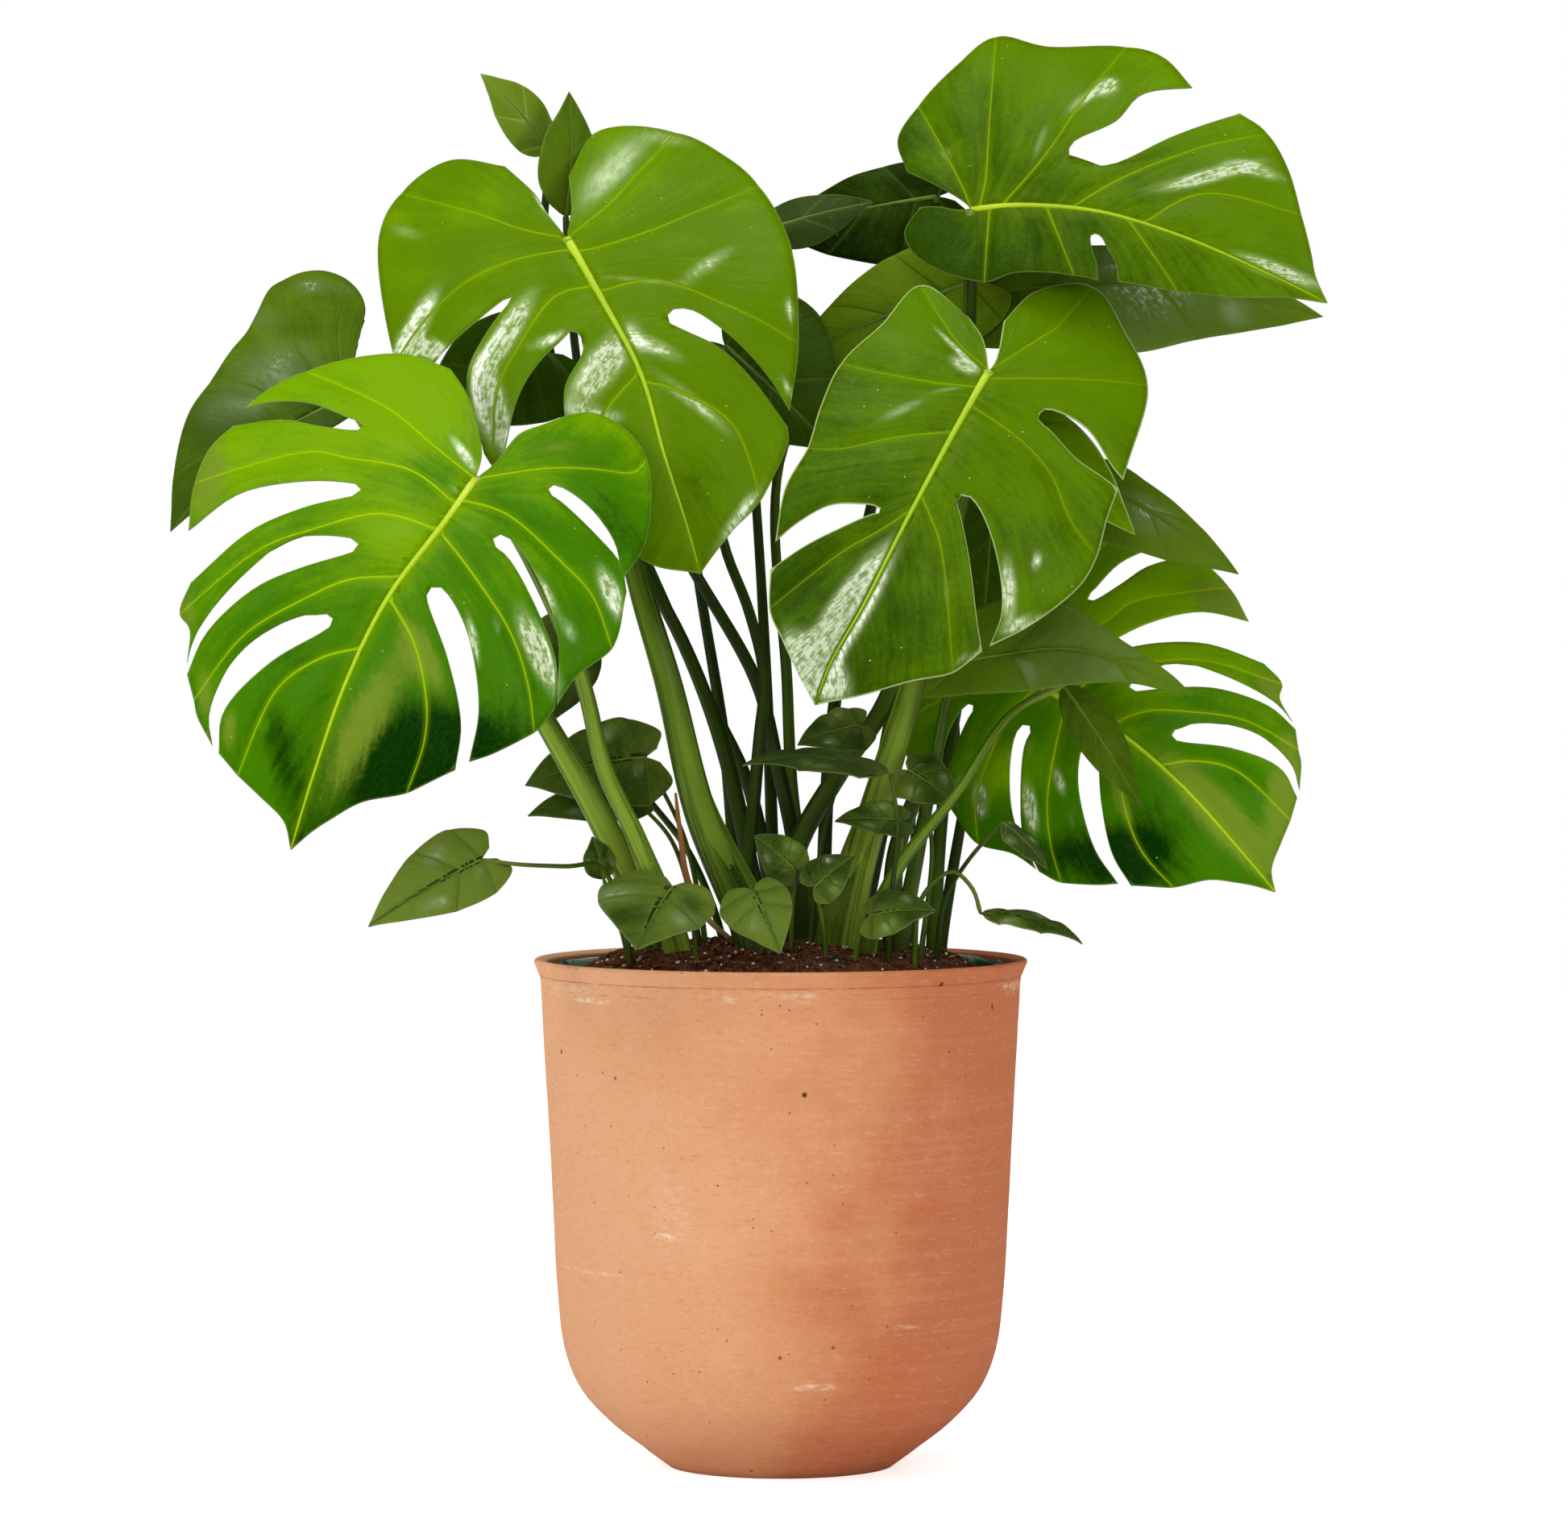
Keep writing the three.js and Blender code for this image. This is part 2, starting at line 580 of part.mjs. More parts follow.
const leaves = {
  leaf_upper_left: {
    ...big, shape: UPPER_LEFT, dome: 0.25, face: [0, -1, 0.4],
    base: [-128, -45, 742], tip: [-47, -135, 541],
    foot: [-16, -42], radii: [12, 4.5],
    via: [[-48, -54, 398], [-67, -50, 475], [-87, -35, 543], [-109, -14, 654]],
  },
  leaf_lower_left: {
    ...big, shape: SPLIT, arch: 0.08, face: [0, -1, 0.5], colour: 0x7fb000,
    base: [-177, -173, 596], tip: [-277, -273, 385],
    foot: [-60, -54], radii: [7, 3.6],
    via: [[-86, -72, 384], [-104, -80, 423], [-119, -95, 483], [-151, -128, 556]],
  },
  leaf_middle_right: {
    ...big, shape: MIDDLE_RIGHT, face: [0, -1, 0.4],
    base: [124, -70, 662], tip: [20, -175, 465],
    foot: [38, -27], radii: [12, 4.5],
    via: [[45, -33, 358], [63, -38, 421], [78, -42, 470], [105, -46, 576]],
    shoot: {
      ...small, shape: OVAL, face: [-0.4, -1, 0.3], width: [0.6, 0.5], dome: -3, keel: 0,
      base: [150, -46, 640], tip: [212, -60, 564],
      path: [[104, -46, 574], [120, -49, 612], [137, -45, 637]], radii: [3, 1.8],
    },
  },
  leaf_upper_right: {
    ...big, shape: UPPER_RIGHT, arch: 0.05, dome: 0.35, face: [0, -1, 0.4],
    base: [115, -10, 761], tip: [327, -50, 703],
    foot: [-2, -9], radii: [7, 4],
    via: [[10, -8, 376], [37, 0, 423], [64, 6, 464], [98, 2, 572], [113, 8, 674]],
  },
  leaf_lower_right: {
    ...big, shape: mirrored(SPLIT), arch: 0.08, face: [-0.16, -0.9, 0.4], colour: 0x76a800, ridge: 2.6,
    base: [147, -5, 480], tip: [294, -86, 352],
    foot: [68, -4], radii: [7, 3.4],
    via: [[70, -3, 372], [88, 4, 420], [106, 14, 464]],
  },
  leaf_far_left: {
    ...medium, shape: FAR_LEFT, thickness: 1.1, cells: 4, face: [-0.25, -1, 0.35], colour: 0x3d6610,
    base: [-259, -62, 647], tip: [-359, -118, 566],
    foot: [-74, -16], radii: [11, 3], sides: 7, steps: 10,
    via: [[-104, -30, 385], [-140, -38, 450], [-198, -42, 547], [-240, -48, 615]],
  },
  leaf_under_upper_right: {
    ...medium, shape: UNDER_RIGHT, thickness: 1.1, face: [0, -1, 0.35],
    base: [114, 35, 711], tip: [333, 55, 699],
    foot: [46, 24], radii: [6, 3], steps: 9,
    via: [[62, 32, 420], [88, 54, 560], [106, 52, 660]],
  },
  leaf_below_middle: {
    ...medium, shape: BELOW_RIGHT, face: [0, -1, 0.5],
    base: [105, -92, 489], tip: [241, -105, 472],
    foot: [72, -34], radii: [6, 2.8],
    via: [[82, -38, 372], [92, -43, 425], [99, -62, 465]],
  },
  leaf_drooping_right: {
    ...medium, shape: OVAL, face: [0.1, -1, 0.4], width: [0.5, 0.5],
    base: [168, -72, 475], tip: [215, -84, 401],
    foot: [50, -62], radii: [5.5, 2.2],
    via: [[68, -78, 363], [106, -86, 413], [137, -84, 458]],
  },
  leaf_right_edge: {
    ...medium, shape: HEART, face: [0.2, -1, 0.5], width: [0.7, 0.35],
    base: [183, -12, 601], tip: [275, -40, 541],
    foot: [93, 10], radii: [5, 2.5], steps: 9,
    via: [[99, 20, 400], [113, 33, 480], [150, 22, 560]],
  },
  leaf_behind_slot: {
    ...medium, shape: OVAL, face: [0.1, -1, 0.2], width: [0.9, 0.9],
    base: [128, -16, 602], tip: [121, -24, 494],
    foot: [98, 38], radii: [4, 2.2], steps: 9,
    via: [[118, 52, 430], [132, 50, 520], [135, 22, 584]],
  },
  leaf_back_top: {
    ...medium, shape: HEART, face: [0, -1, 0.3], width: [0.55, 0.85],
    base: [96, 62, 773], tip: [-7, 80, 752],
    foot: [26, 68], radii: [5, 3], steps: 9,
    via: [[32, 82, 450], [60, 90, 600], [88, 84, 700]],
  },
  leaf_curled_back: {
    ...medium, shape: OVAL, face: [0, -1, 0.3], width: [0.66, 0.66], dome: 2.5,
    base: [-14, 24, 749], tip: [57, 30, 768],
    foot: [-4, 64], radii: [4.5, 2.4], steps: 9,
    via: [[-8, 60, 458], [-16, 60, 597], [-24, 48, 690], [-22, 36, 732]],
  },
  leaf_underside: {
    ...medium, shape: HEART, face: [0, -1, 0.2], width: [0.65, 0.7],
    base: [113, 22, 718], tip: [3, 40, 670],
    foot: [22, 42], radii: [4.5, 2.4], steps: 9,
    via: [[8, 38, 399], [4, 36, 473], [1, 44, 616], [50, 58, 684]],
  },
  leaf_top_young: {
    ...medium, shape: OVAL, face: [0.4, -1, 0.4], width: [0.85, 0.85], colour: 0x6f9a2c,
    base: [-140, 14, 797], tip: [-181, -8, 843],
    foot: [-12, 16], radii: [6, 2.4], steps: 10,
    via: [[-31, 22, 420], [-59, 26, 498], [-124, 38, 616], [-141, 46, 675], [-145, 38, 744]],
  },
  leaf_top_side: {
    ...medium, shape: OVAL, face: [0.7, -1, 0], width: [0.8, 0.9],
    base: [-130, -2, 757], tip: [-128, 4, 833],
    foot: [-3, 42], radii: [5, 2.4], steps: 10,
    via: [[-19, 44, 409], [-44, 48, 463], [-69, 52, 518], [-120, 50, 646]],
  },
  leaf_behind_left: {
    ...medium, shape: HEART, face: [0, -1, 0.4],
    base: [-142, 14, 675], tip: [-218, -20, 635],
    foot: [12, 14], radii: [5.5, 2.8], steps: 9,
    via: [[9, 12, 371], [-2, 6, 425], [-14, 2, 474], [-51, 4, 540], [-103, 10, 626]],
  },
  leaf_between: {
    ...medium, shape: HEART, face: [0, -1, 0.3], width: [1, 1.4],
    base: [-34, 18, 680], tip: [32, 5, 616],
    foot: [-22, 0], radii: [5, 2.6], steps: 9,
    via: [[-19, -8, 371], [-13, -13, 440], [-10, -14, 479], [-19, -12, 518], [-35, -6, 562], [-42, 12, 636]],
  },
  leaf_back_left: {
    ...medium, shape: OVAL, face: [0, 1, 0.3], thickness: 1.1,
    base: [-60, 95, 637], tip: [-52, 150, 554],
    foot: [-26, 62], radii: [5, 2.8],
    via: [[-34, 80, 430], [-54, 86, 560]],
  },
  leaf_back_right: {
    ...medium, shape: OVAL, face: [0, 1, 0.3], thickness: 1.1, width: [0.9, 0.9],
    base: [107, 95, 661], tip: [92, 150, 553],
    foot: [50, 56], radii: [5, 2.8],
    via: [[72, 72, 430], [100, 84, 580]],
  },
  leaf_low_far_left: {
    ...small, shape: SMALL_HEART, face: [0.25, -1, 0.5], width: [0.75, 0.65],
    base: [-176, -120, 373], tip: [-241, -150, 335],
    foot: [-90, -58], steps: 8,
    via: [[-97, -60, 345], [-107, -68, 366], [-128, -98, 368], [-156, -115, 370]],
  },
  leaf_low_front_left: {
    ...small, shape: SMALL_HEART, face: [0, -0.8, 1], width: [2.15, 1.4],
    base: [-64, -95, 356], tip: [-85, -120, 319],
    foot: [-50, -82],
    via: [[-54, -88, 340]],
  },
  leaf_low_front: {
    ...small, shape: SMALL_HEART, face: [0, -1, 0.5], width: [1.2, 1],
    base: [-16, -100, 353], tip: [0, -122, 317],
    foot: [-12, -80],
    via: [[-13, -86, 338]],
  },
  leaf_low_middle_a: {
    ...small, shape: SMALL_HEART, face: [0, -1, 0.5], width: [1.1, 1.1],
    base: [8, -84, 366], tip: [-16, -82, 386],
    foot: [6, -68],
    via: [[7, -72, 345]],
  },
  leaf_low_middle_b: {
    ...small, shape: SMALL_HEART, face: [0, -1, 0.5], width: [1.1, 1.1],
    base: [20, -95, 356], tip: [44, -92, 374],
    foot: [27, -80],
    via: [[24, -87, 338]],
  },
  leaf_low_middle_c: {
    ...small, shape: SMALL_HEART, face: [0, -0.9, 0.6], width: [0.7, 0.7],
    base: [72, -70, 394], tip: [32, -78, 394],
    foot: [64, -50],
    via: [[68, -58, 350], [72, -64, 378]],
  },
  leaf_low_right_front: {
    ...small, shape: SMALL_HEART, face: [0, -1, 0.8],
    base: [54, -100, 339], tip: [92, -113, 342],
    foot: [44, -88],
    via: [[48, -95, 330]],
  },
  leaf_low_far_right: {
    ...small, shape: OVAL, face: [0, -0.25, 1], width: [0.8, 0.8],
    base: [119, -80, 339], tip: [179, -95, 322],
    foot: [80, -74], steps: 8,
    via: [[84, -76, 348], [102, -78, 364], [114, -80, 354]],
  },
  leaf_low_right_folded: {
    ...small, shape: OVAL, face: [0.5, -1, 0.6], width: [0.8, 0.5],
    base: [132, -70, 393], tip: [159, -80, 365],
    foot: [94, -44],
    via: [[98, -54, 345], [112, -64, 370]],
  },
  leaf_low_edge_on: {
    ...small, shape: OVAL, face: [0, -0.3, 1], width: [0.8, 0.8],
    base: [65, -102, 423], tip: [-23, -112, 428],
    foot: [64, -76],
    via: [[66, -83, 350], [69, -94, 385], [68, -100, 405]],
  },
  leaf_low_behind_middle: {
    ...small, shape: SMALL_HEART, face: [0, -1, 0.8],
    base: [48, -22, 450], tip: [10, -26, 438],
    foot: [18, -26],
    via: [[26, -22, 385], [40, -18, 430]],
  },
  leaf_low_left_a: {
    ...small, shape: SMALL_HEART, face: [0, -1, 0.7],
    base: [-82, -2, 430], tip: [-155, -5, 413],
    foot: [-46, -8],
    via: [[-58, -4, 380]],
  },
  leaf_low_left_b: {
    ...small, shape: SMALL_HEART, face: [0, -1, 0.7], width: [0.6, 0.6],
    base: [-90, 14, 405], tip: [-154, 10, 394],
    foot: [-50, 14],
    via: [[-66, 14, 378]],
  },
  leaf_low_left_c: {
    ...small, shape: OVAL, face: [0.4, -1, 0.2],
    base: [-126, 14, 518], tip: [-147, -4, 446],
    foot: [-36, 26], radii: [2.6, 1.5], steps: 8,
    via: [[-56, 24, 371], [-84, 30, 408], [-116, 32, 459]],
  },
  leaf_low_right_a: {
    ...small, shape: SMALL_HEART, face: [0, -1, 0.7], width: [1.1, 1.1],
    base: [76, -61, 424], tip: [106, -71, 402],
    foot: [84, -57],
    via: [[90, -58, 385]],
  },
  leaf_low_right_b: {
    ...small, shape: SMALL_HEART, face: [0, -1, 0.4],
    base: [91, 43, 464], tip: [108, 42, 425],
    foot: [80, 38], width: [0.7, 0.7],
    via: [[82, 40, 400]],
  },
  leaf_low_left_stub: {
    ...small, shape: OVAL, face: [0.3, -1, 0.3], width: [1.2, 1.2],
    base: [-106, -52, 358], tip: [-113, -50, 384],
    foot: [-92, -40],
    via: [[-98, -45, 335]],
  },
};

// ---------------------------------------------------------------- pot and soil

const plant = new THREE.Group();

function place(name, geometry, colour, roughness) {
  const material = new THREE.MeshStandardMaterial({ color: colour, roughness, metalness: 0 });
  const mesh = new THREE.Mesh(geometry, material);
  mesh.name = name;
  plant.add(mesh);
}

// The pot's outline as radius and height: up its outside, over the rim and down its inside
const potOutside = [
  [FOOT_RADIUS, 0], [82, 10], [103, 26], [122, 47], [131.5, 70], [136, 106], [141, 205],
  [144, 254], [145.2, 284], [146, 289], [148.6, 301], [RIM_RADIUS, 305], [149, POT_HEIGHT - 0.6],
];
const potInside = [
  [145, POT_HEIGHT], [141, 306], [139.5, 300], [145.2 - WALL, 280], [141 - WALL, 205],
  [136 - WALL, 106], [131.5 - WALL, 72], [122 - WALL, 52], [95, 34], [74, 19],
  [55, POT_FLOOR],
];
const potProfile = [[0, 0], ...potOutside, ...potInside, [0, POT_FLOOR]];
place('terracotta_pot', cleaned(turned(potProfile, POT_SECTORS)), 0xd8895f, 0.85);

const nurseryBead = [
  [NURSERY_RIM_RADIUS - 1.6, NURSERY_RIM_HEIGHT - 10],
  [NURSERY_RIM_RADIUS, NURSERY_RIM_HEIGHT - 8],
  [NURSERY_RIM_RADIUS, NURSERY_RIM_HEIGHT - 2],
  [NURSERY_RIM_RADIUS - 1, NURSERY_RIM_HEIGHT],
];
const [waistRadius, waistHeight] = NURSERY_WAIST;
const nurseryProfile = [
  [0, NURSERY_FOOT_HEIGHT],
  [NURSERY_FOOT_RADIUS, NURSERY_FOOT_HEIGHT],
  NURSERY_WAIST,
  ...nurseryBead,
  [NURSERY_RIM_RADIUS - 1 - NURSERY_WALL, NURSERY_RIM_HEIGHT],
  [waistRadius - NURSERY_WALL, waistHeight],
  [NURSERY_FOOT_RADIUS - NURSERY_WALL, NURSERY_FOOT_HEIGHT + NURSERY_WALL],
  [0, NURSERY_FOOT_HEIGHT + NURSERY_WALL],
];
place('nursery_pot', cleaned(turned(nurseryProfile, POT_SECTORS)), 0x1d3a2b, 0.4);

// The soil fills the nursery pot, and every stalk has its own hole in it
const soilInset = NURSERY_WALL + SEAT_GAP;
const soilFloor = NURSERY_FOOT_HEIGHT + soilInset;
const soilProfile = [
  [0, soilFloor],
  [NURSERY_FOOT_RADIUS - soilInset, soilFloor],
  [waistRadius - soilInset, waistHeight],
  ...SOIL_MOUND.toReversed(),
];
let soil = solidOf(turned(soilProfile, POT_SECTORS));

for (const [name, leaf] of Object.entries(leaves)) {
  soil = soil.subtract(stalk(leaf, HOLE_CLEARANCE));
  place(name, geometryOf(leafSolid(leaf)), leaf.colour, 0.35);
}
place('soil', geometryOf(soil), 0x3b2417, 0.95);

export default plant;
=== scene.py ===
# A potted monstera: a terracotta pot, the thin nursery pot that stands in it, peaty soil, and
# leaves on long stalks. Sizes are in millimetres and become metres as each mesh is made.
import math

import bmesh
import bpy
import numpy as np
from mathutils import Matrix, Vector, kdtree, noise


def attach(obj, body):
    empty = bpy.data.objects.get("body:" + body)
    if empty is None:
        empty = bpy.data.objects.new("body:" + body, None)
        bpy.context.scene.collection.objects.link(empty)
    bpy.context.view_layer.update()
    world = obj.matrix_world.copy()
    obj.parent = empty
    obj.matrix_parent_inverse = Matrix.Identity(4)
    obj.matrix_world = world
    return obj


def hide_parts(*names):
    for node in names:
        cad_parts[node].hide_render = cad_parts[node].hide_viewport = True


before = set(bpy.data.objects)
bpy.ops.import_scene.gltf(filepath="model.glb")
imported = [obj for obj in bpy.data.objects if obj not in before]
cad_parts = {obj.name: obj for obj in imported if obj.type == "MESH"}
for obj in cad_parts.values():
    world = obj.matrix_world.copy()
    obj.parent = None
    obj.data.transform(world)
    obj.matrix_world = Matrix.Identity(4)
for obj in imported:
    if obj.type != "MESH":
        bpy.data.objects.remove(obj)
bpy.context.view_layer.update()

# ------------------------------------------------------------------ the studio
# The plant stands on a plain pale floor in soft light. The camera looks at it from the front,
# a little from above, as the photograph does.
MM = 0.001
CAMERA_PLACE = (2, -4000, 540)
CAMERA_AIM = (2, 0, 424)
CAMERA_LENS = 151.45
CAMERA_SENSOR = 36
CAMERA_REACH = 50
FLOOR_SIDE = 9000
FLOOR_GLOW = 0.65

scene = bpy.context.scene
scene.view_settings.view_transform = "Standard"


def metres(place):
    return Vector(place) * MM


def aimed(thing, place, aim):
    thing.location = metres(place)
    thing.rotation_euler = (metres(aim) - metres(place)).to_track_quat("-Z", "Y").to_euler()
    scene.collection.objects.link(thing)
    return thing


camera_data = bpy.data.cameras.new("camera")
camera_data.lens = CAMERA_LENS
camera_data.sensor_width = CAMERA_SENSOR
camera_data.clip_end = CAMERA_REACH
scene.camera = aimed(bpy.data.objects.new("camera", camera_data), CAMERA_PLACE, CAMERA_AIM)


def softbox(name, place, aim, width, height, watts):
    """A lamp behind cloth, which fills the shadows and leaves no gloss."""
    lamp = bpy.data.lights.new(name, "AREA")
    lamp.shape = "RECTANGLE"
    lamp.size = width * MM
    lamp.size_y = height * MM
    lamp.energy = watts
    thing = aimed(bpy.data.objects.new(name, lamp), place, aim)
    thing.visible_glossy = False
    return thing


def gloss_light(name, place, aim, width, height, watts):
    """A lamp behind cloth that shows only as gloss on the leaves."""
    thing = softbox(name, place, aim, width, height, watts)
    thing.visible_glossy = True
    thing.visible_diffuse = False


softbox("light_left", (-2300, -1700, 1500), (0, 0, 480), 700, 1500, 30)
softbox("light_right", (2400, -1500, 1100), (0, 0, 450), 600, 1400, 15)
softbox("light_top", (-200, -300, 2700), (0, 0, 450), 1500, 1200, 24)
softbox("light_front", (300, -3800, 1900), (0, 0, 400), 1800, 700, 20)
softbox("light_back_left", (-1600, 1900, 1700), (0, 0, 500), 700, 1200, 12)
softbox("light_back_right", (1700, 1900, 1700), (0, 0, 500), 700, 1200, 12)
gloss_light("gloss_left", (-1130, -1960, 2860), (0, 0, 600), 700, 900, 42)
gloss_light("gloss_right", (1405, -2007, 2657), (0, 0, 600), 700, 900, 42)
gloss_light("gloss_top", (0, -560, 3750), (0, 0, 600), 900, 700, 42)

AIR_SEEN = 1.0
AIR_MIRRORED = 0.05
AIR_LIGHT = 0.36

world = bpy.data.worlds.new("air")
world.use_nodes = True
scene.world = world
air = world.node_tree
air_light = air.nodes["Background"]
ray = air.nodes.new("ShaderNodeLightPath")
mirrored_air = air.nodes.new("ShaderNodeMix")
seen_air = air.nodes.new("ShaderNodeMix")
mirrored_air.inputs["A"].default_value = AIR_LIGHT
mirrored_air.inputs["B"].default_value = AIR_MIRRORED
seen_air.inputs["B"].default_value = AIR_SEEN
air.links.new(ray.outputs["Is Glossy Ray"], mirrored_air.inputs["Factor"])
air.links.new(mirrored_air.outputs["Result"], seen_air.inputs["A"])
air.links.new(ray.outputs["Is Camera Ray"], seen_air.inputs["Factor"])
air.links.new(seen_air.outputs["Result"], air_light.inputs["Strength"])
air_light.inputs["Color"].default_value = (1, 1, 1, 1)


def linear(red, green, blue):
    """A colour given as 0 to 255 in a picture, as the shader wants it."""
    return tuple((part / 255) ** 2.2 for part in (red, green, blue)) + (1,)


def finish(name):
    """A new material: its nodes, its links and its Principled shader."""
    material = bpy.data.materials.new(name)
    material.use_nodes = True
    tree = material.node_tree
    return material, tree, tree.nodes["Principled BSDF"]


def fed(tree, socket, value):
    """An input set to a value, or linked where the value is a socket."""
    if isinstance(value, bpy.types.NodeSocket):
        tree.links.new(value, socket)
    else:
        socket.default_value = value

def added(tree, kind, sources=None, **settings):
    """A new node with its settings, and each named input set to a value or linked to a socket."""
    node = tree.nodes.new("ShaderNode" + kind)
    for key, value in settings.items():
        setattr(node, key, value)
    for key, value in (sources or {}).items():
        fed(tree, node.inputs[key], value)
    return node

def mixed(tree, share, a, b):
    """Two colours mixed by a share."""
    node = added(tree, "Mix", data_type="RGBA")
    for number, value in ((0, share), (6, a), (7, b)):
        fed(tree, node.inputs[number], value)
    return node.outputs[2]

def worked(tree, kind, *values):
    """The result of one sum on values or sockets."""
    node = added(tree, "Math", operation=kind)
    for socket, value in zip(node.inputs, values):
        fed(tree, socket, value)
    return node.outputs[0]

def cloudy(tree, place, scale, detail, rough=0.5, stretch=None):
    """A soft uneven pattern from 0 to 1, drawn out where it runs one way."""
    if stretch:
        place = added(tree, "Mapping", {"Vector": place, "Scale": stretch}).outputs[0]
    return added(tree, "TexNoise", {"Vector": place, "Scale": scale, "Detail": detail,
                                    "Roughness": rough}).outputs["Fac"]

def dressed(tree, shader, inputs, relief=None, strength=1.0, depth=0.001):
    """The shader's inputs set or linked, and a fine relief on the surface."""
    for key, value in inputs.items():
        fed(tree, shader.inputs[key], value)
    if relief is not None:
        bump = added(tree, "Bump", {"Height": relief, "Strength": strength, "Distance": depth})
        tree.links.new(bump.outputs[0], shader.inputs["Normal"])

floor_finish, tree, shader = finish("pale_floor")
place = added(tree, "TexCoord").outputs["Object"]
seen = added(tree, "LightPath").outputs["Is Camera Ray"]
dressed(tree, shader, {
    "Base Color": mixed(tree, cloudy(tree, place, 3.0, 2.0), linear(246, 246, 245),
                        linear(250, 250, 250)),
    "Roughness": 0.9, "Specular IOR Level": 0.1, "Emission Color": (1, 1, 1, 1),
    "Emission Strength": worked(tree, "MULTIPLY", seen, FLOOR_GLOW)})
floor_mesh = bmesh.new()
bmesh.ops.create_grid(floor_mesh, x_segments=1, y_segments=1, size=FLOOR_SIDE * MM / 2)
floor_data = bpy.data.meshes.new("floor")
floor_mesh.to_mesh(floor_data)
floor_mesh.free()
floor_data.materials.append(floor_finish)
floor = bpy.data.objects.new("floor", floor_data)
scene.collection.objects.link(floor)

# ------------------------------------------------------------------ the terracotta pot
# Thrown on a wheel in unglazed clay: a small flat foot, a round bowl, an almost straight wall,
# a fine step line and a flared rim. It is matt, with pits, wheel lines and pale salt marks.
RIM_RADIUS = 150
FOOT_RADIUS = 68.4
POT_HEIGHT = 308
POT_WALL = ((FOOT_RADIUS, 0), (82, 10), (103, 26), (122, 47), (131.5, 70), (136, 106),
            (138.7, 156), (141.2, 205), (143.8, 254), (145.3, 284), (145.7, 292.6))
POT_RIM = ((145.9, 294.5), (146.2, 296.6), (146.5, 298), (147.1, 298.9), (147.9, 301), (148.9, 303.4),
           (149.8, 305.3), (RIM_RADIUS, 306.4), (149.7, 307.4), (148.8, POT_HEIGHT), (147, 308),
           (144.8, 307.4), (142.6, 305.8), (141.1, 303.4), (140.2, 301), (139.5, 298.5))
POT_INSIDE = ((136.2, 280), (132, 205), (127, 106), (122.5, 72), (113, 52), (95, 34), (74, 19),
              (55, 12))
POT_STEPS = 168
FLAT_FOOT = 12
HAND_SWAY = 0.5
WHEEL_SWAY = 0.07
WALL_INSET = 0.45


def eased(a, b, c, d, share, power):
    """Places between b and c, a share of the way, on a smooth line through all four."""
    first, middle, last = (max(np.linalg.norm(q - p), 1e-9) ** power
                           for p, q in ((a, b), (b, c), (c, d)))
    leave = ((b - a) / first - (c - a) / (first + middle) + (c - b) / middle) * middle
    reach = ((c - b) / middle - (d - b) / (middle + last) + (d - c) / last) * middle
    return (b + leave * share + (3 * (c - b) - 2 * leave - reach) * share ** 2
            + (2 * (b - c) + leave + reach) * share ** 3)


def smooth_line(points, count, power=0.0):
    """count places, evenly spaced on a smooth line through the given ones."""
    points = np.array(points, float)
    ends = (points[:1], points[-1:])
    if power:
        ends = (2 * points[:1] - points[1:2], 2 * points[-1:] - points[-2:-1])
    points = np.vstack((ends[0], points, ends[1]))
    share = np.linspace(0, 1, 13)[:-1, None]
    fine = [eased(a, b, c, d, share, power)
            for a, b, c, d in zip(points, points[1:], points[2:], points[3:])]
    fine = np.vstack(fine + [points[-2:-1]])
    run = np.concatenate(([0], np.cumsum(np.linalg.norm(np.diff(fine, axis=0), axis=1))))
    at = np.linspace(0, run[-1], count)
    return np.column_stack([np.interp(at, run, part) for part in fine.T])


def turned(outline, steps):
    """An outline of radius and height, spun round the pot's axis."""
    bm = bmesh.new()
    line = [bm.verts.new((radius * MM, 0, height * MM)) for radius, height in outline]
    edges = [bm.edges.new(pair) for pair in zip(line, line[1:])]
    bmesh.ops.spin(bm, geom=line + edges, cent=(0, 0, 0), axis=(0, 0, 1), angle=math.tau,
                   steps=steps, use_merge=True)
    bmesh.ops.remove_doubles(bm, verts=bm.verts, dist=1e-6)
    bmesh.ops.recalc_face_normals(bm, faces=bm.faces)
    for face in bm.faces:
        face.smooth = True
    return bm


pot_outline = [(0, 0), (FOOT_RADIUS - 3, 0), *smooth_line(POT_WALL, 60, 0.5), *POT_RIM,
               *smooth_line(POT_INSIDE, 30), (0, 12)]
pot_mesh = turned(pot_outline, POT_STEPS)
for vert in pot_mesh.verts:
    lean = (noise.noise(vert.co * 9) * HAND_SWAY
            + noise.noise(vert.co * Vector((4, 4, 60))) * WHEEL_SWAY)
    outward = Vector((vert.co.x, vert.co.y, 0)).normalized()
    if vert.co.z > FLAT_FOOT * MM:
        vert.co += outward * (lean - WALL_INSET) * MM

CLAY_LIGHT = linear(234, 172, 129)
CLAY = linear(221, 152, 106)
CLAY_RED = linear(198, 114, 74)
CLAY_SALT = linear(243, 214, 180)
CLAY_PIT = linear(92, 52, 34)
# painted shade, for the step lines and for the inside of the pot below the rim
CLAY_SHADE = linear(112, 70, 52)
# place across, height, half width, half height and strength of each pale scuff
SCUFFS = ((-112, 288, 16, 2.2, 1.0), (-68, 150, 8, 3.5, 1.0), (-64, 165, 16, 30, 0.25),
          (20, 62, 16, 2.5, 0.8), (-112, 125, 24, 1.6, 0.6), (-30, 293, 5, 4, 0.8),
          (38, 180, 9, 3, 0.3), (70, 96, 14, 2, 0.35))


def between(tree, value, low, high, to_low=0.0, to_high=1.0):
    """A value brought from one range to another, smoothly and without going past it."""
    node = added(tree, "MapRange", {"Value": value, "From Min": low, "From Max": high,
                                    "To Min": to_low, "To Max": to_high},
                 interpolation_type="SMOOTHSTEP")
    return node.outputs["Result"]

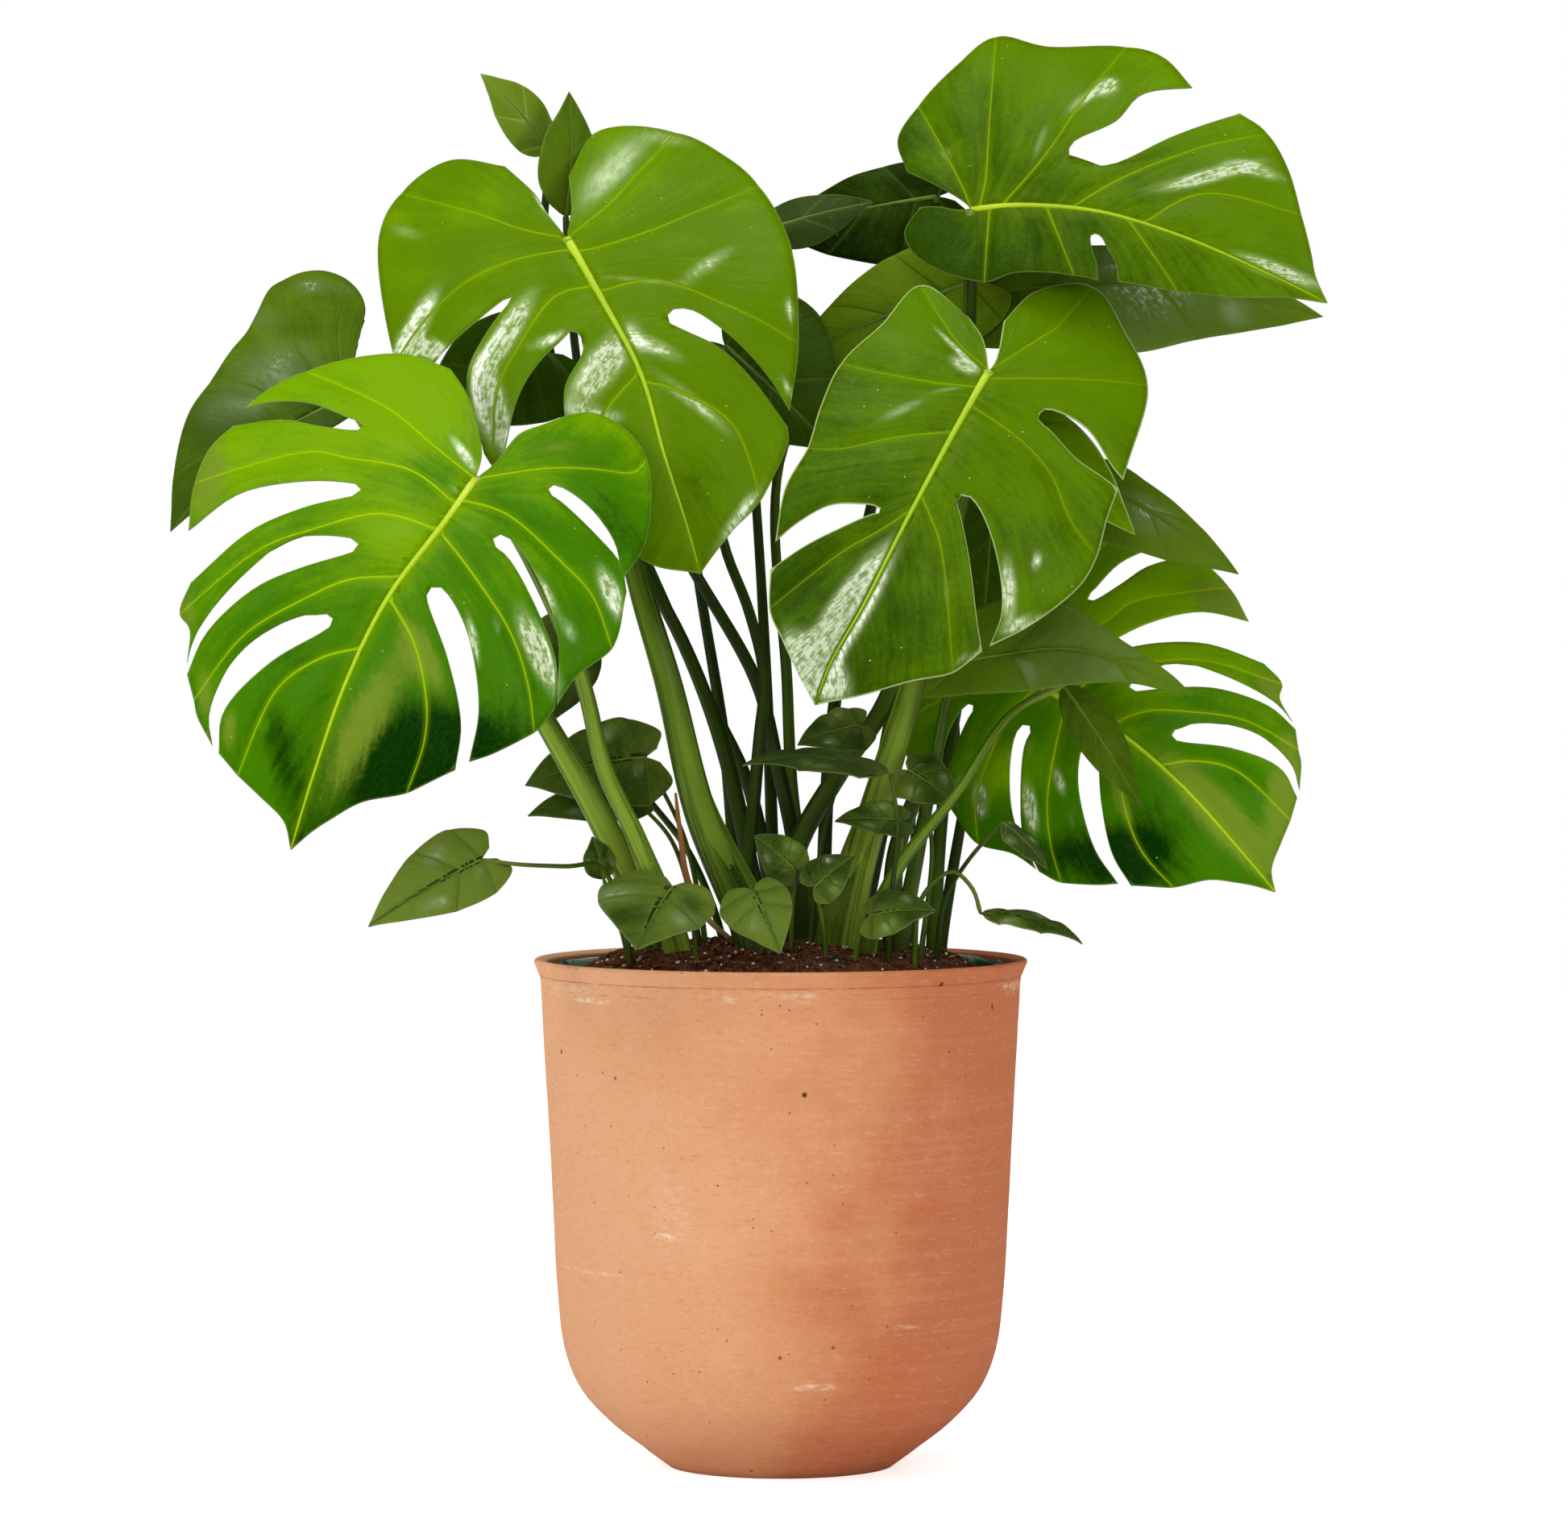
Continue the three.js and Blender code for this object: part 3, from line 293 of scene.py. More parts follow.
def swung(tree, value, share, about):
    """A value moved up and down by a share of an uneven pattern."""
    return worked(tree, "MULTIPLY_ADD", worked(tree, "SUBTRACT", value, 0.5), share, about)

clay, tree, shader = finish("terracotta")
place = added(tree, "TexCoord").outputs["Object"]
apart = added(tree, "SeparateXYZ", {"Vector": place}).outputs
lines = cloudy(tree, place, 1.0, 5.0, 0.65, (4.0, 4.0, 260.0))
grain = cloudy(tree, place, 420.0, 3.0, 0.7)
strokes = cloudy(tree, place, 1.0, 4.0, 0.7, (120.0, 120.0, 520.0))
# the clay is paler on the left and redder on the right, with an uneven border: partly the
# clay's own colour, partly painted light falling from the left
side = swung(tree, cloudy(tree, place, 7.0, 5.0, 0.6), 0.30, apart["X"])
tone = mixed(tree, between(tree, side, -0.12, 0.03), CLAY_LIGHT, CLAY)
tone = mixed(tree, between(tree, side, -0.01, 0.10), tone, CLAY_RED)
# wheel lines, grain and short strokes of the potter's hand are paler and redder by turns
for field, pale, pale_range, red_range in (
        (lines, CLAY_LIGHT, (0.42, 0.72, 0.0, 0.14), (0.42, 0.22, 0.0, 0.16)),
        (grain, CLAY_SALT, (0.5, 0.8, 0.0, 0.14), (0.5, 0.25, 0.0, 0.18)),
        (strokes, CLAY_SALT, (0.54, 0.74, 0.0, 0.20), (0.46, 0.28, 0.0, 0.30))):
    tone = mixed(tree, between(tree, field, *pale_range), tone, pale)
    tone = mixed(tree, between(tree, field, *red_range), tone, CLAY_RED)
# salt marks follow the step under the rim, and a few scuffs lie lower down
rub = cloudy(tree, place, 1.0, 5.0, 0.7, (150.0, 150.0, 420.0))
marks = worked(tree, "MULTIPLY", between(tree, apart["Z"], 0.286, 0.2935),
               between(tree, apart["Z"], 0.2975, 0.2945))
marks = worked(tree, "MULTIPLY", marks,
               between(tree, cloudy(tree, place, 14.0, 3.0), 0.48, 0.60, 0.0, 0.6))
for x, z, wide, high, strength in SCUFFS:
    spot = added(tree, "Mapping", {"Vector": place, "Location": (-x / wide, 0.0, -z / high),
                                   "Scale": (1 / (wide * MM), 1.0, 1 / (high * MM))})
    spot = added(tree, "SeparateXYZ", {"Vector": spot.outputs[0]}).outputs
    flat_spot = added(tree, "CombineXYZ", {"X": spot["X"], "Z": spot["Z"]})
    away = added(tree, "VectorMath", {0: flat_spot.outputs[0]}, operation="LENGTH")
    mark = worked(tree, "MULTIPLY", between(tree, away.outputs["Value"], 1.2, 0.3, 0.0, strength),
                  between(tree, spot["Y"], 0.0, -0.05))
    marks = worked(tree, "MAXIMUM", marks, mark)
marks = worked(tree, "MULTIPLY", marks, between(tree, rub, 0.40, 0.60))
tone = mixed(tree, marks, tone, CLAY_SALT)
# the step of the rim holds a thin broken darker line, and so does a wheel line below it:
# painted shade
for low, high, broken in ((0.2904, 0.2925, 0.5), (0.2972, 0.2990, 0.36)):
    middle = (low + high) / 2
    groove_shade = worked(tree, "MULTIPLY", between(tree, apart["Z"], low, middle),
                    between(tree, apart["Z"], high, middle, 0.0, 0.5))
    groove_shade = worked(tree, "MULTIPLY", groove_shade, between(tree, rub, broken, broken + 0.18))
    tone = mixed(tree, groove_shade, tone, CLAY_SHADE)
# pits: only some cells of each pattern hold one
pits = 0.0
for scale, chosen, near, strength in ((62.0, (0.80, 0.82), (0.13, 0.05), 1.0),
                                      (190.0, (0.88, 0.9), (0.17, 0.06), 0.7)):
    cell = added(tree, "TexVoronoi", {"Vector": place, "Scale": scale}).outputs
    lot = added(tree, "SeparateXYZ", {"Vector": cell["Color"]}).outputs["X"]
    pit = worked(tree, "MULTIPLY", between(tree, lot, *chosen),
                 between(tree, cell["Distance"], *near))
    pits = worked(tree, "MAXIMUM", pits, worked(tree, "MULTIPLY", pit, strength))
tone = mixed(tree, pits, tone, CLAY_PIT)
# the inside wall below the rim is darker: painted shade
reach = added(tree, "VectorMath", {0: added(tree, "CombineXYZ", {
    "X": apart["X"], "Y": apart["Y"]}).outputs[0]}, operation="LENGTH").outputs["Value"]
inner_wall_shade = worked(tree, "MULTIPLY", between(tree, reach, 0.1432, 0.1414),
                    between(tree, apart["Z"], 0.24, 0.26))
tone = mixed(tree, worked(tree, "MULTIPLY", inner_wall_shade, 0.9), tone, CLAY_SHADE)
height = worked(tree, "MULTIPLY_ADD", grain, 0.25, worked(tree, "MULTIPLY", lines, 0.8))
height = worked(tree, "MULTIPLY_ADD", pits, -1.6, height)
dressed(tree, shader, {"Base Color": tone, "Roughness": between(tree, grain, 0.3, 0.7, 0.82, 0.95),
                       "Specular IOR Level": 0.25}, height, 0.5, 0.0007)

def piece(bm, name, node, materials):
    """The finished mesh as one object, which rides on the root and stands for its CAD node."""
    mesh = bpy.data.meshes.new(name)
    bm.to_mesh(mesh)
    bm.free()
    for material in materials:
        mesh.materials.append(material)
    thing = bpy.data.objects.new(name, mesh)
    scene.collection.objects.link(thing)
    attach(thing, "root")
    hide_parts(node)

piece(pot_mesh, "pot", "terracotta_pot", [clay])

# ------------------------------------------------------------------ the nursery pot
# A thin pot of dark green plastic film with a rolled bead at its rim. It holds the root ball
# and rests in the bowl of the clay pot.
NURSERY_OUTLINE = (
    (0, 37.5), (98, 37.5), (120, 110), (133.4, 294), (134.6, 295.2), (135, 297.4), (135, 301),
    (134.4, 303), (133.4, 304), (132.6, 303.2), (132.6, 297), (118.8, 110), (96.8, 38.7),
    (0, 38.7))
FILM_STEPS = 120
FILM_CREASED = 250
CREASE_DEPTH = 0.9
BEAD_FOOT = 296
BEAD_RISE = 1.2
BEAD_SWAY = 2.2

nursery_mesh = turned(NURSERY_OUTLINE, FILM_STEPS)
bmesh.ops.subdivide_edges(nursery_mesh, edges=[
    edge for edge in nursery_mesh.edges if edge.calc_length() > 40 * MM], cuts=16)
for vert in nursery_mesh.verts:
    if vert.co.z > FILM_CREASED * MM:
        outward = Vector((vert.co.x, vert.co.y, 0)).normalized()
        crease = noise.noise(vert.co * Vector((30, 30, 14)))
        vert.co += outward * crease * CREASE_DEPTH * MM
    if vert.co.z > BEAD_FOOT * MM:
        sway = noise.noise(vert.co * Vector((42, 42, 0)))
        vert.co.z += (BEAD_RISE + BEAD_SWAY * sway) * MM
for face in nursery_mesh.faces:
    face.smooth = True

FILM_DARK = linear(24, 64, 48)
FILM_LIGHT = linear(110, 158, 132)
# the whitish colour of the painted highlight along the bead
FILM_GLINT = linear(196, 204, 192)
film, tree, shader = finish("nursery_film")
place = added(tree, "TexCoord").outputs["Object"]
wrinkle = cloudy(tree, place, 1.0, 4.0, 0.6, (26.0, 26.0, 60.0))
film_tone = mixed(tree, between(tree, wrinkle, 0.36, 0.62), FILM_DARK, FILM_LIGHT)
# the film is whitish along the bead, broken by the wrinkles: a painted highlight
film_top = added(tree, "SeparateXYZ", {"Vector": place}).outputs["Z"]
bead_glint = worked(tree, "MULTIPLY", between(tree, film_top, 0.3015, 0.3045),
              between(tree, wrinkle, 0.42, 0.6, 0.0, 0.9))
dressed(tree, shader, {"Base Color": mixed(tree, bead_glint, film_tone, FILM_GLINT),
                       "Roughness": between(tree, wrinkle, 0.3, 0.7, 0.5, 0.22)},
        wrinkle, 0.6, 0.003)
piece(nursery_mesh, "nursery_film_pot", "nursery_pot", [film])

# ------------------------------------------------------------------ the soil
# Moist brown peat, mounded in the middle, with crumbs, white perlite and bits of bark pressed
# into its top.
SOIL_OUTLINE = ((0, 39.2), (95.3, 39.2), (118.5, 110), (131.5, 288))
SOIL_MOUND = ((131.5, 288), (122, 299), (106, 309), (82, 315), (45, 318), (0, 319))
SOIL_STEPS = 128
SOIL_SPREAD = 128
LUMPS_FROM = 288.5
LUMP_HEIGHT = 2.4
LUMP_MOST = 1.6
CRUMBS = 1300
PERLITE = 420
BARK = 130
SOIL_SEED = 31

rng = np.random.default_rng(SOIL_SEED)
soil_mesh = turned([*SOIL_OUTLINE, *smooth_line(SOIL_MOUND, 46)[1:]], SOIL_STEPS)
for vert in soil_mesh.verts:
    if vert.co.z > LUMPS_FROM * MM:
        lump = noise.fractal(vert.co * 55, 0.8, 2.1, 4)
        vert.co.z += min(LUMP_MOST, LUMP_HEIGHT * lump) * MM


def soil_top(reach):
    edge, top = zip(*SOIL_MOUND[::-1])
    return float(np.interp(reach, edge, top))


def shaped(make, stretch):
    """The places and faces of one small piece."""
    bm = bmesh.new()
    make(bm)
    for vert in bm.verts:
        vert.co *= Vector(stretch)
    corners = [vert.co.copy() for vert in bm.verts]
    sides = [[vert.index for vert in face.verts] for face in bm.faces]
    bm.free()
    return corners, sides


def scatter(count, model, smallest, largest, sink, number):
    """Copies of a small piece pressed into the soil, each turned and dented its own way."""
    corners, sides = model
    for _ in range(count):
        reach = SOIL_SPREAD * math.sqrt(rng.uniform(0.02, 1))
        turn = rng.uniform(0, math.tau)
        size = rng.uniform(smallest, largest)
        pose = (Matrix.Rotation(rng.uniform(0, math.tau), 3, "Z")
                @ Matrix.Rotation(rng.uniform(-0.9, 0.9), 3, "X"))
        place = Vector((reach * math.cos(turn), reach * math.sin(turn),
                        soil_top(reach) - sink * size))
        dents = rng.uniform(0.75, 1.2, len(corners))
        verts = [soil_mesh.verts.new(((pose @ corner) * size * dent + place) * MM)
                 for corner, dent in zip(corners, dents)]
        for side in sides:
            face = soil_mesh.faces.new([verts[index] for index in side])
            face.material_index = number
            face.smooth = number != 2


ball = shaped(lambda bm: bmesh.ops.create_icosphere(bm, subdivisions=1, radius=0.5), (1, 1, 0.8))
chip = shaped(lambda bm: bmesh.ops.create_cube(bm, size=1), (1, 0.16, 0.1))
scatter(CRUMBS, ball, 2.0, 5.5, 0.05, 0)
scatter(PERLITE, ball, 1.2, 3.2, -0.05, 1)
scatter(BARK, chip, 7.0, 19.0, 0.0, 2)

PEAT_DARK = linear(42, 22, 13)
PEAT = linear(106, 60, 36)
PEAT_LIGHT = linear(156, 108, 74)
peat, tree, shader = finish("peat")
place = added(tree, "TexCoord").outputs["Object"]
clod = cloudy(tree, place, 130.0, 6.0, 0.75)
fibre_place = added(tree, "Mapping", {"Vector": place, "Scale": (900.0, 180.0, 500.0),
                                      "Rotation": (0.3, 0.2, 0.7)})
fibre = cloudy(tree, fibre_place.outputs[0], 1.0, 2.0)
earth = mixed(tree, between(tree, clod, 0.36, 0.60), PEAT_DARK, PEAT)
earth = mixed(tree, between(tree, fibre, 0.56, 0.72, 0.0, 0.8), earth, PEAT_LIGHT)
dressed(tree, shader, {"Base Color": earth, "Roughness": 0.95, "Specular IOR Level": 0.2},
        clod, 0.9, 0.002)

perlite, tree, shader = finish("perlite")
place = added(tree, "TexCoord").outputs["Object"]
foam = cloudy(tree, place, 900.0, 3.0)
dressed(tree, shader, {"Base Color": mixed(tree, between(tree, foam, 0.3, 0.7),
                                           linear(196, 184, 168), linear(246, 243, 236)),
                       "Roughness": 0.8}, foam, 0.8, 0.0006)

bark, tree, shader = finish("bark")
place = added(tree, "TexCoord").outputs["Object"]
strands = cloudy(tree, place, 320.0, 5.0)
dressed(tree, shader, {"Base Color": mixed(tree, between(tree, strands, 0.35, 0.65),
                                           linear(70, 40, 26), linear(142, 96, 64)),
                       "Roughness": 0.9}, strands, 0.7, 0.001)
piece(soil_mesh, "peat_soil", "soil", [peat, perlite, bark])

# ------------------------------------------------------------------ the big front leaves
# Five large leathery blades, split between their veins, each on a long stalk with a knee where
# the blade is joined. A blade is drawn flat, vein by vein, and then bent into its place.
SPLIT_SHOULDER = 0.14
SPLIT_ROUND = 0.62
# half widths of the pale lines, from the base to the tip or the margin
MIDRIB_MARK = (2.2, 0.6)
VEIN_MARK = (0.85, 0.3)
BLADE_FIELDS = ("vein", "rim", "tone", "painted_sheen", "gloss_and_highlight")
HALVES_APART = 500
RIPPLE = 0.045
RIB_END = 97
RIB_STEPS = 40
RIB_TAPER = 0.88
KNEE_SWELL = 0.16
KNEE_NECK = 0.75
SHEATH_STEPS = 28
SOIL_SINK = 14

def rib(station, *points):
    """A row from a place on the midrib to the margin, in hundredths of the leaf's length."""
    return "rib", station, points


def vein(station, *points):
    """A row that is a main side vein."""
    return "vein", station, points


def slot(station, root, before, after):
    """A split in the blade, from its root to the two lips."""
    return "slot", station, (root, before, after)


def across(point):
    return point[0], -point[1]


def mirrored_half(half):
    def turned_over(points):
        return tuple(across(p) if isinstance(p[0], (int, float)) else turned_over(p)
                     for p in points)
    return tuple((kind, station, turned_over(points)) for kind, station, points in half)


def mirrored(shape):
    return {"mid": tuple(map(across, shape["mid"])), "neg": mirrored_half(shape["pos"]),
            "pos": mirrored_half(shape["neg"])}


def fingers_of(middle, half, cells):
    """The fingers of one half: rows of station, whether it is a vein, and points."""
    fingers = [[]]
    for kind, station, points in half:
        start = middle[station]
        if kind != "slot":
            fingers[-1].append((station, kind == "vein",
                                smooth_line((start, *points), cells + 1)))
            continue
        root, before, after = (np.array(part, float) for part in points)
        # the inner end of a split is round
        mouth, half_gap = (before[0] + after[0]) / 2, (after[0] - before[0]) / 2
        shoulder = root + (mouth - root) * SPLIT_SHOULDER
        before = np.vstack((shoulder - half_gap * SPLIT_ROUND, before))
        after = np.vstack((shoulder + half_gap * SPLIT_ROUND, after))
        stem = np.linalg.norm(root - start)
        lip = smooth_line((root, *before), 60, 0.5)
        reach = np.linalg.norm(np.diff(lip, axis=0), axis=1).sum()
        stem_cells = min(max(round(cells * stem / (stem + reach)), 1), cells - 1)
        stem_row = start + (root - start) * np.linspace(0, 1, stem_cells + 1)[:, None]
        rows = [np.vstack((stem_row, smooth_line((root, *side), cells - stem_cells + 1, 0.5)[1:]))
                for side in (before, after)]
        fingers[-1].append((station, False, rows[0]))
        fingers.append([(station, False, rows[1])])
    fingers[-1].append((100, False, np.repeat(middle[-1:], cells + 1, axis=0)))
    return fingers


def filled(fingers, middle, cell):
    """The fingers with more rows between the given ones, and how far each row lies across."""
    stations = np.arange(len(middle))
    lay = 0.0
    nets = []
    for finger in fingers:
        rows = [row for _, _, row in finger]
        rows = [2 * rows[0] - rows[1], *rows, 2 * rows[-1] - rows[-2]]
        net = [(lay, rows[1])]
        for number, (a, b, c, d) in enumerate(zip(rows, rows[1:], rows[2:], rows[3:])):
            gaps = np.linalg.norm(c - b, axis=1)
            steps = max(1, math.ceil(gaps.max() / cell))
            low, high = finger[number][0], finger[number + 1][0]
            for step in range(1, steps + 1):
                share = step / steps
                row = eased(a, b, c, d, share, 0.5) if step < steps else c.copy()
                station = low + (high - low) * share
                row[0] = [np.interp(station, stations, part) for part in middle.T]
                net.append((lay + gaps.mean() * share, row))
            lay += gaps.mean()
        nets.append(net)
    return nets


def nearest(places, line, widths):
    """Each place's distance from a line, and that distance over the line's width there."""
    start, step = line[:-1], np.diff(line, axis=0)
    run = np.maximum((step ** 2).sum(axis=1), 1e-12)
    offset = places[:, None, :] - start[None]
    share = np.clip((offset * step).sum(axis=2) / run, 0, 1)
    apart = np.linalg.norm(offset - share[..., None] * step, axis=2)
    wide = widths[:-1] + (widths[1:] - widths[:-1]) * share
    return apart.min(axis=1), (apart / wide).min(axis=1)


def spread(flat, u, v, size, strength, reach=1.0, turn=0):
    """How much of a soft patch, longer by its reach along its turn, each place gets."""
    east, north = (flat - (u, v)).T
    turn = math.radians(turn)
    far = (east * math.cos(turn) + north * math.sin(turn)) / reach
    off = north * math.cos(turn) - east * math.sin(turn)
    return strength * np.exp(-(far ** 2 + off ** 2) / size ** 2)


def blade(bm, shape, base, tip, face, width, arch, dome, cells, cell, puff, crease, wave, shade,
          light_and_shade_patches, painted_sheen, gloss, thickness, seed):
    """One blade with its attributes, in its place. Returns its surface as a function."""
    base, tip, face = (np.array(p, float) for p in (base, tip, face))
    length = np.linalg.norm(tip - base)
    along = (tip - base) / length
    up = face - along * face.dot(along)
    up /= np.linalg.norm(up)
    side = np.cross(up, along)

    def surface(u, v, raised=0.0):
        v = v * np.where(v < 0, width[0], width[1])
        lift = 4 * arch * u * (1 - u) - dome * v * v
        return (base + length * (u[:, None] * along + v[:, None] * side)
                + (length * lift + raised)[:, None] * up)

    middle = smooth_line(shape["mid"], 101)
    sheet = bmesh.new()
    for key in BLADE_FIELDS:
        sheet.verts.layers.float.new(key)
    lay = sheet.verts.layers.float_vector.new("lay")
    vein_lines = [(middle, np.linspace(*MIDRIB_MARK, 101))]
    for half, key in enumerate(("neg", "pos")):
        fingers = fingers_of(middle, shape[key], cells)
        for finger in fingers:
            for station, is_vein, row in finger:
                if is_vein:
                    vein_lines.append((row, np.linspace(*VEIN_MARK, len(row))))
        for net in filled(fingers, middle, cell * 100 / length):
            grid = []
            for lie, row in net:
                reach = np.concatenate(([0], np.cumsum(np.linalg.norm(np.diff(row, axis=0), axis=1))))
                line = []
                for place, far in zip(row, reach):
                    vert = sheet.verts.new((place[0], place[1], 0))
                    vert[lay] = (lie * length / 100 + half * HALVES_APART, far * length / 100, 0)
                    line.append(vert)
                grid.append(line)
            for one, two in zip(grid, grid[1:]):
                for quad in zip(one, one[1:], two[1:], two):
                    sheet.faces.new(quad)
    bmesh.ops.remove_doubles(sheet, verts=sheet.verts, dist=0.02)
    bmesh.ops.dissolve_degenerate(sheet, dist=0.001, edges=sheet.edges)
    sheet.normal_update()
    bmesh.ops.reverse_faces(sheet, faces=[part for part in sheet.faces if part.normal.z < 0])

    verts = list(sheet.verts)
    flat = np.array([vert.co[:2] for vert in verts])
    margin = kdtree.KDTree(len(verts))
    spans, shares = zip(*(nearest(flat * length / 100, line * length / 100, wide)
                          for line, wide in vein_lines))
    span, share = np.min(spans, axis=0), np.min(shares, axis=0)
    for number, vert in enumerate(verts):
        if vert.is_boundary and spans[0][number] > 0.3:
            margin.insert(vert.co, number)
    margin.balance()
    rim = np.array([margin.find(vert.co)[2] for vert in verts]) * length / 100
    reach = np.clip(np.abs(flat[:, 1]) / 45, 0, 1.2)
    ripple = np.array([noise.noise((u * RIPPLE, v * RIPPLE, seed)) for u, v in flat])
    raised = (puff * (1 - np.exp(-span / crease)) * (0.7 + 0.3 * (1 - np.exp(-rim / 5)))
              + wave * ripple * reach)
    places = surface(flat[:, 0] / 100, flat[:, 1] / 100, raised)
    # the tone from pale to deep, by a slope along and across the blade and by soft patches: the
    # leaf's own colour together with painted light, painted shade and painted dark reflections
    tones = shade[2] + (flat[:, 0] - 40) / 100 * shade[0] + flat[:, 1] / 100 * shade[1]
    tones += sum(spread(flat, *patch) for patch in light_and_shade_patches)
    # painted sheen: an olive colour in soft patches that stands in for a reflection of the lamps
    sheen_field = np.zeros(len(flat)) + sum(spread(flat, *patch) for patch in painted_sheen)
    # painted highlights: soft patches that raise the coat gloss and also paint pale highlights and
    # glints into the colour
    gloss_and_highlight = np.zeros(len(flat)) + sum(spread(flat, *patch) for patch in gloss)
    for key, field in zip(BLADE_FIELDS, (share, rim, tones, sheen_field, gloss_and_highlight)):
        layer = sheet.verts.layers.float[key]
        for vert, value in zip(verts, field):
            vert[layer] = value
    for vert, place in zip(verts, places):
        vert.co = place * MM
    sheet.normal_update()
    made = bmesh.ops.extrude_face_region(sheet, geom=sheet.faces[:], use_keep_orig=True)["geom"]
    for part in made:
        if isinstance(part, bmesh.types.BMVert):
            part.co -= part.normal * thickness * MM
        if isinstance(part, bmesh.types.BMFace):
            part.material_index = 1
    bmesh.ops.recalc_face_normals(sheet, faces=sheet.faces)
    for part in sheet.faces:
        part.smooth = True
    spare = bpy.data.meshes.new("spare")
    sheet.to_mesh(spare)
    sheet.free()
    bm.from_mesh(spare)
    bpy.data.meshes.remove(spare)
    return surface, middle


def swept(bm, path, radii, sides, material, flat=None, up=None):
    """A tube along a path. Its rings are wide by radii and, where given, low by flat."""
    path = [metres(p) for p in path]
    ways = [(b - a).normalized() for a, b in zip(path, path[1:])]
    ways = [ways[0]] + [(a + b).normalized() for a, b in zip(ways, ways[1:])] + [ways[-1]]
    over = Vector(up) if up is not None else ways[0].orthogonal()
    end = bm.verts.layers.float.get("knee") or bm.verts.layers.float.new("knee")
    lay = bm.verts.layers.float_vector["lay"]
    ring = bmesh.ops.create_circle(bm, segments=sides, radius=1.0)["verts"]
    for vert in ring:
        vert[lay] = (vert.co.x * radii[0], vert.co.y * radii[0], 0)
    gone = 0.0
    first = ring
    edges = list({edge for vert in ring for edge in vert.link_edges})
    done = Matrix.Identity(4)
    for number, (place, way, radius) in enumerate(zip(path, ways, radii)):
        over = (over - way * over.dot(way)).normalized()
        low = flat[number] if flat is not None else radius
        turn = Matrix((over.cross(way) * radius * MM, over * low * MM, way)).transposed().to_4x4()
        turn.translation = place
        if number:
            made = bmesh.ops.extrude_edge_only(bm, edges=edges)["geom"]
            ring = [g for g in made if isinstance(g, bmesh.types.BMVert)]
            edges = [g for g in made if isinstance(g, bmesh.types.BMEdge)
                     and all(v in ring for v in g.verts)]
        bmesh.ops.transform(bm, matrix=turn @ done.inverted(), verts=ring)
        gone += (place - path[number - 1]).length / MM if number else 0
        for vert in ring:
            vert[end] = (path[-1] - place).length / MM
            vert[lay] = (vert[lay].x, vert[lay].y, gone)
        done = turn
    for verts in (first, ring):
        bm.faces.new(verts)
    whole = set(first)
    while True:
        grown = {v for vert in whole for edge in vert.link_edges for v in edge.verts}
        if len(grown) == len(whole):
            break
        whole = grown
    parts = {face for vert in whole for face in vert.link_faces}
    bmesh.ops.recalc_face_normals(bm, faces=list(parts))
    for face in parts:
        face.material_index = material
        face.smooth = True


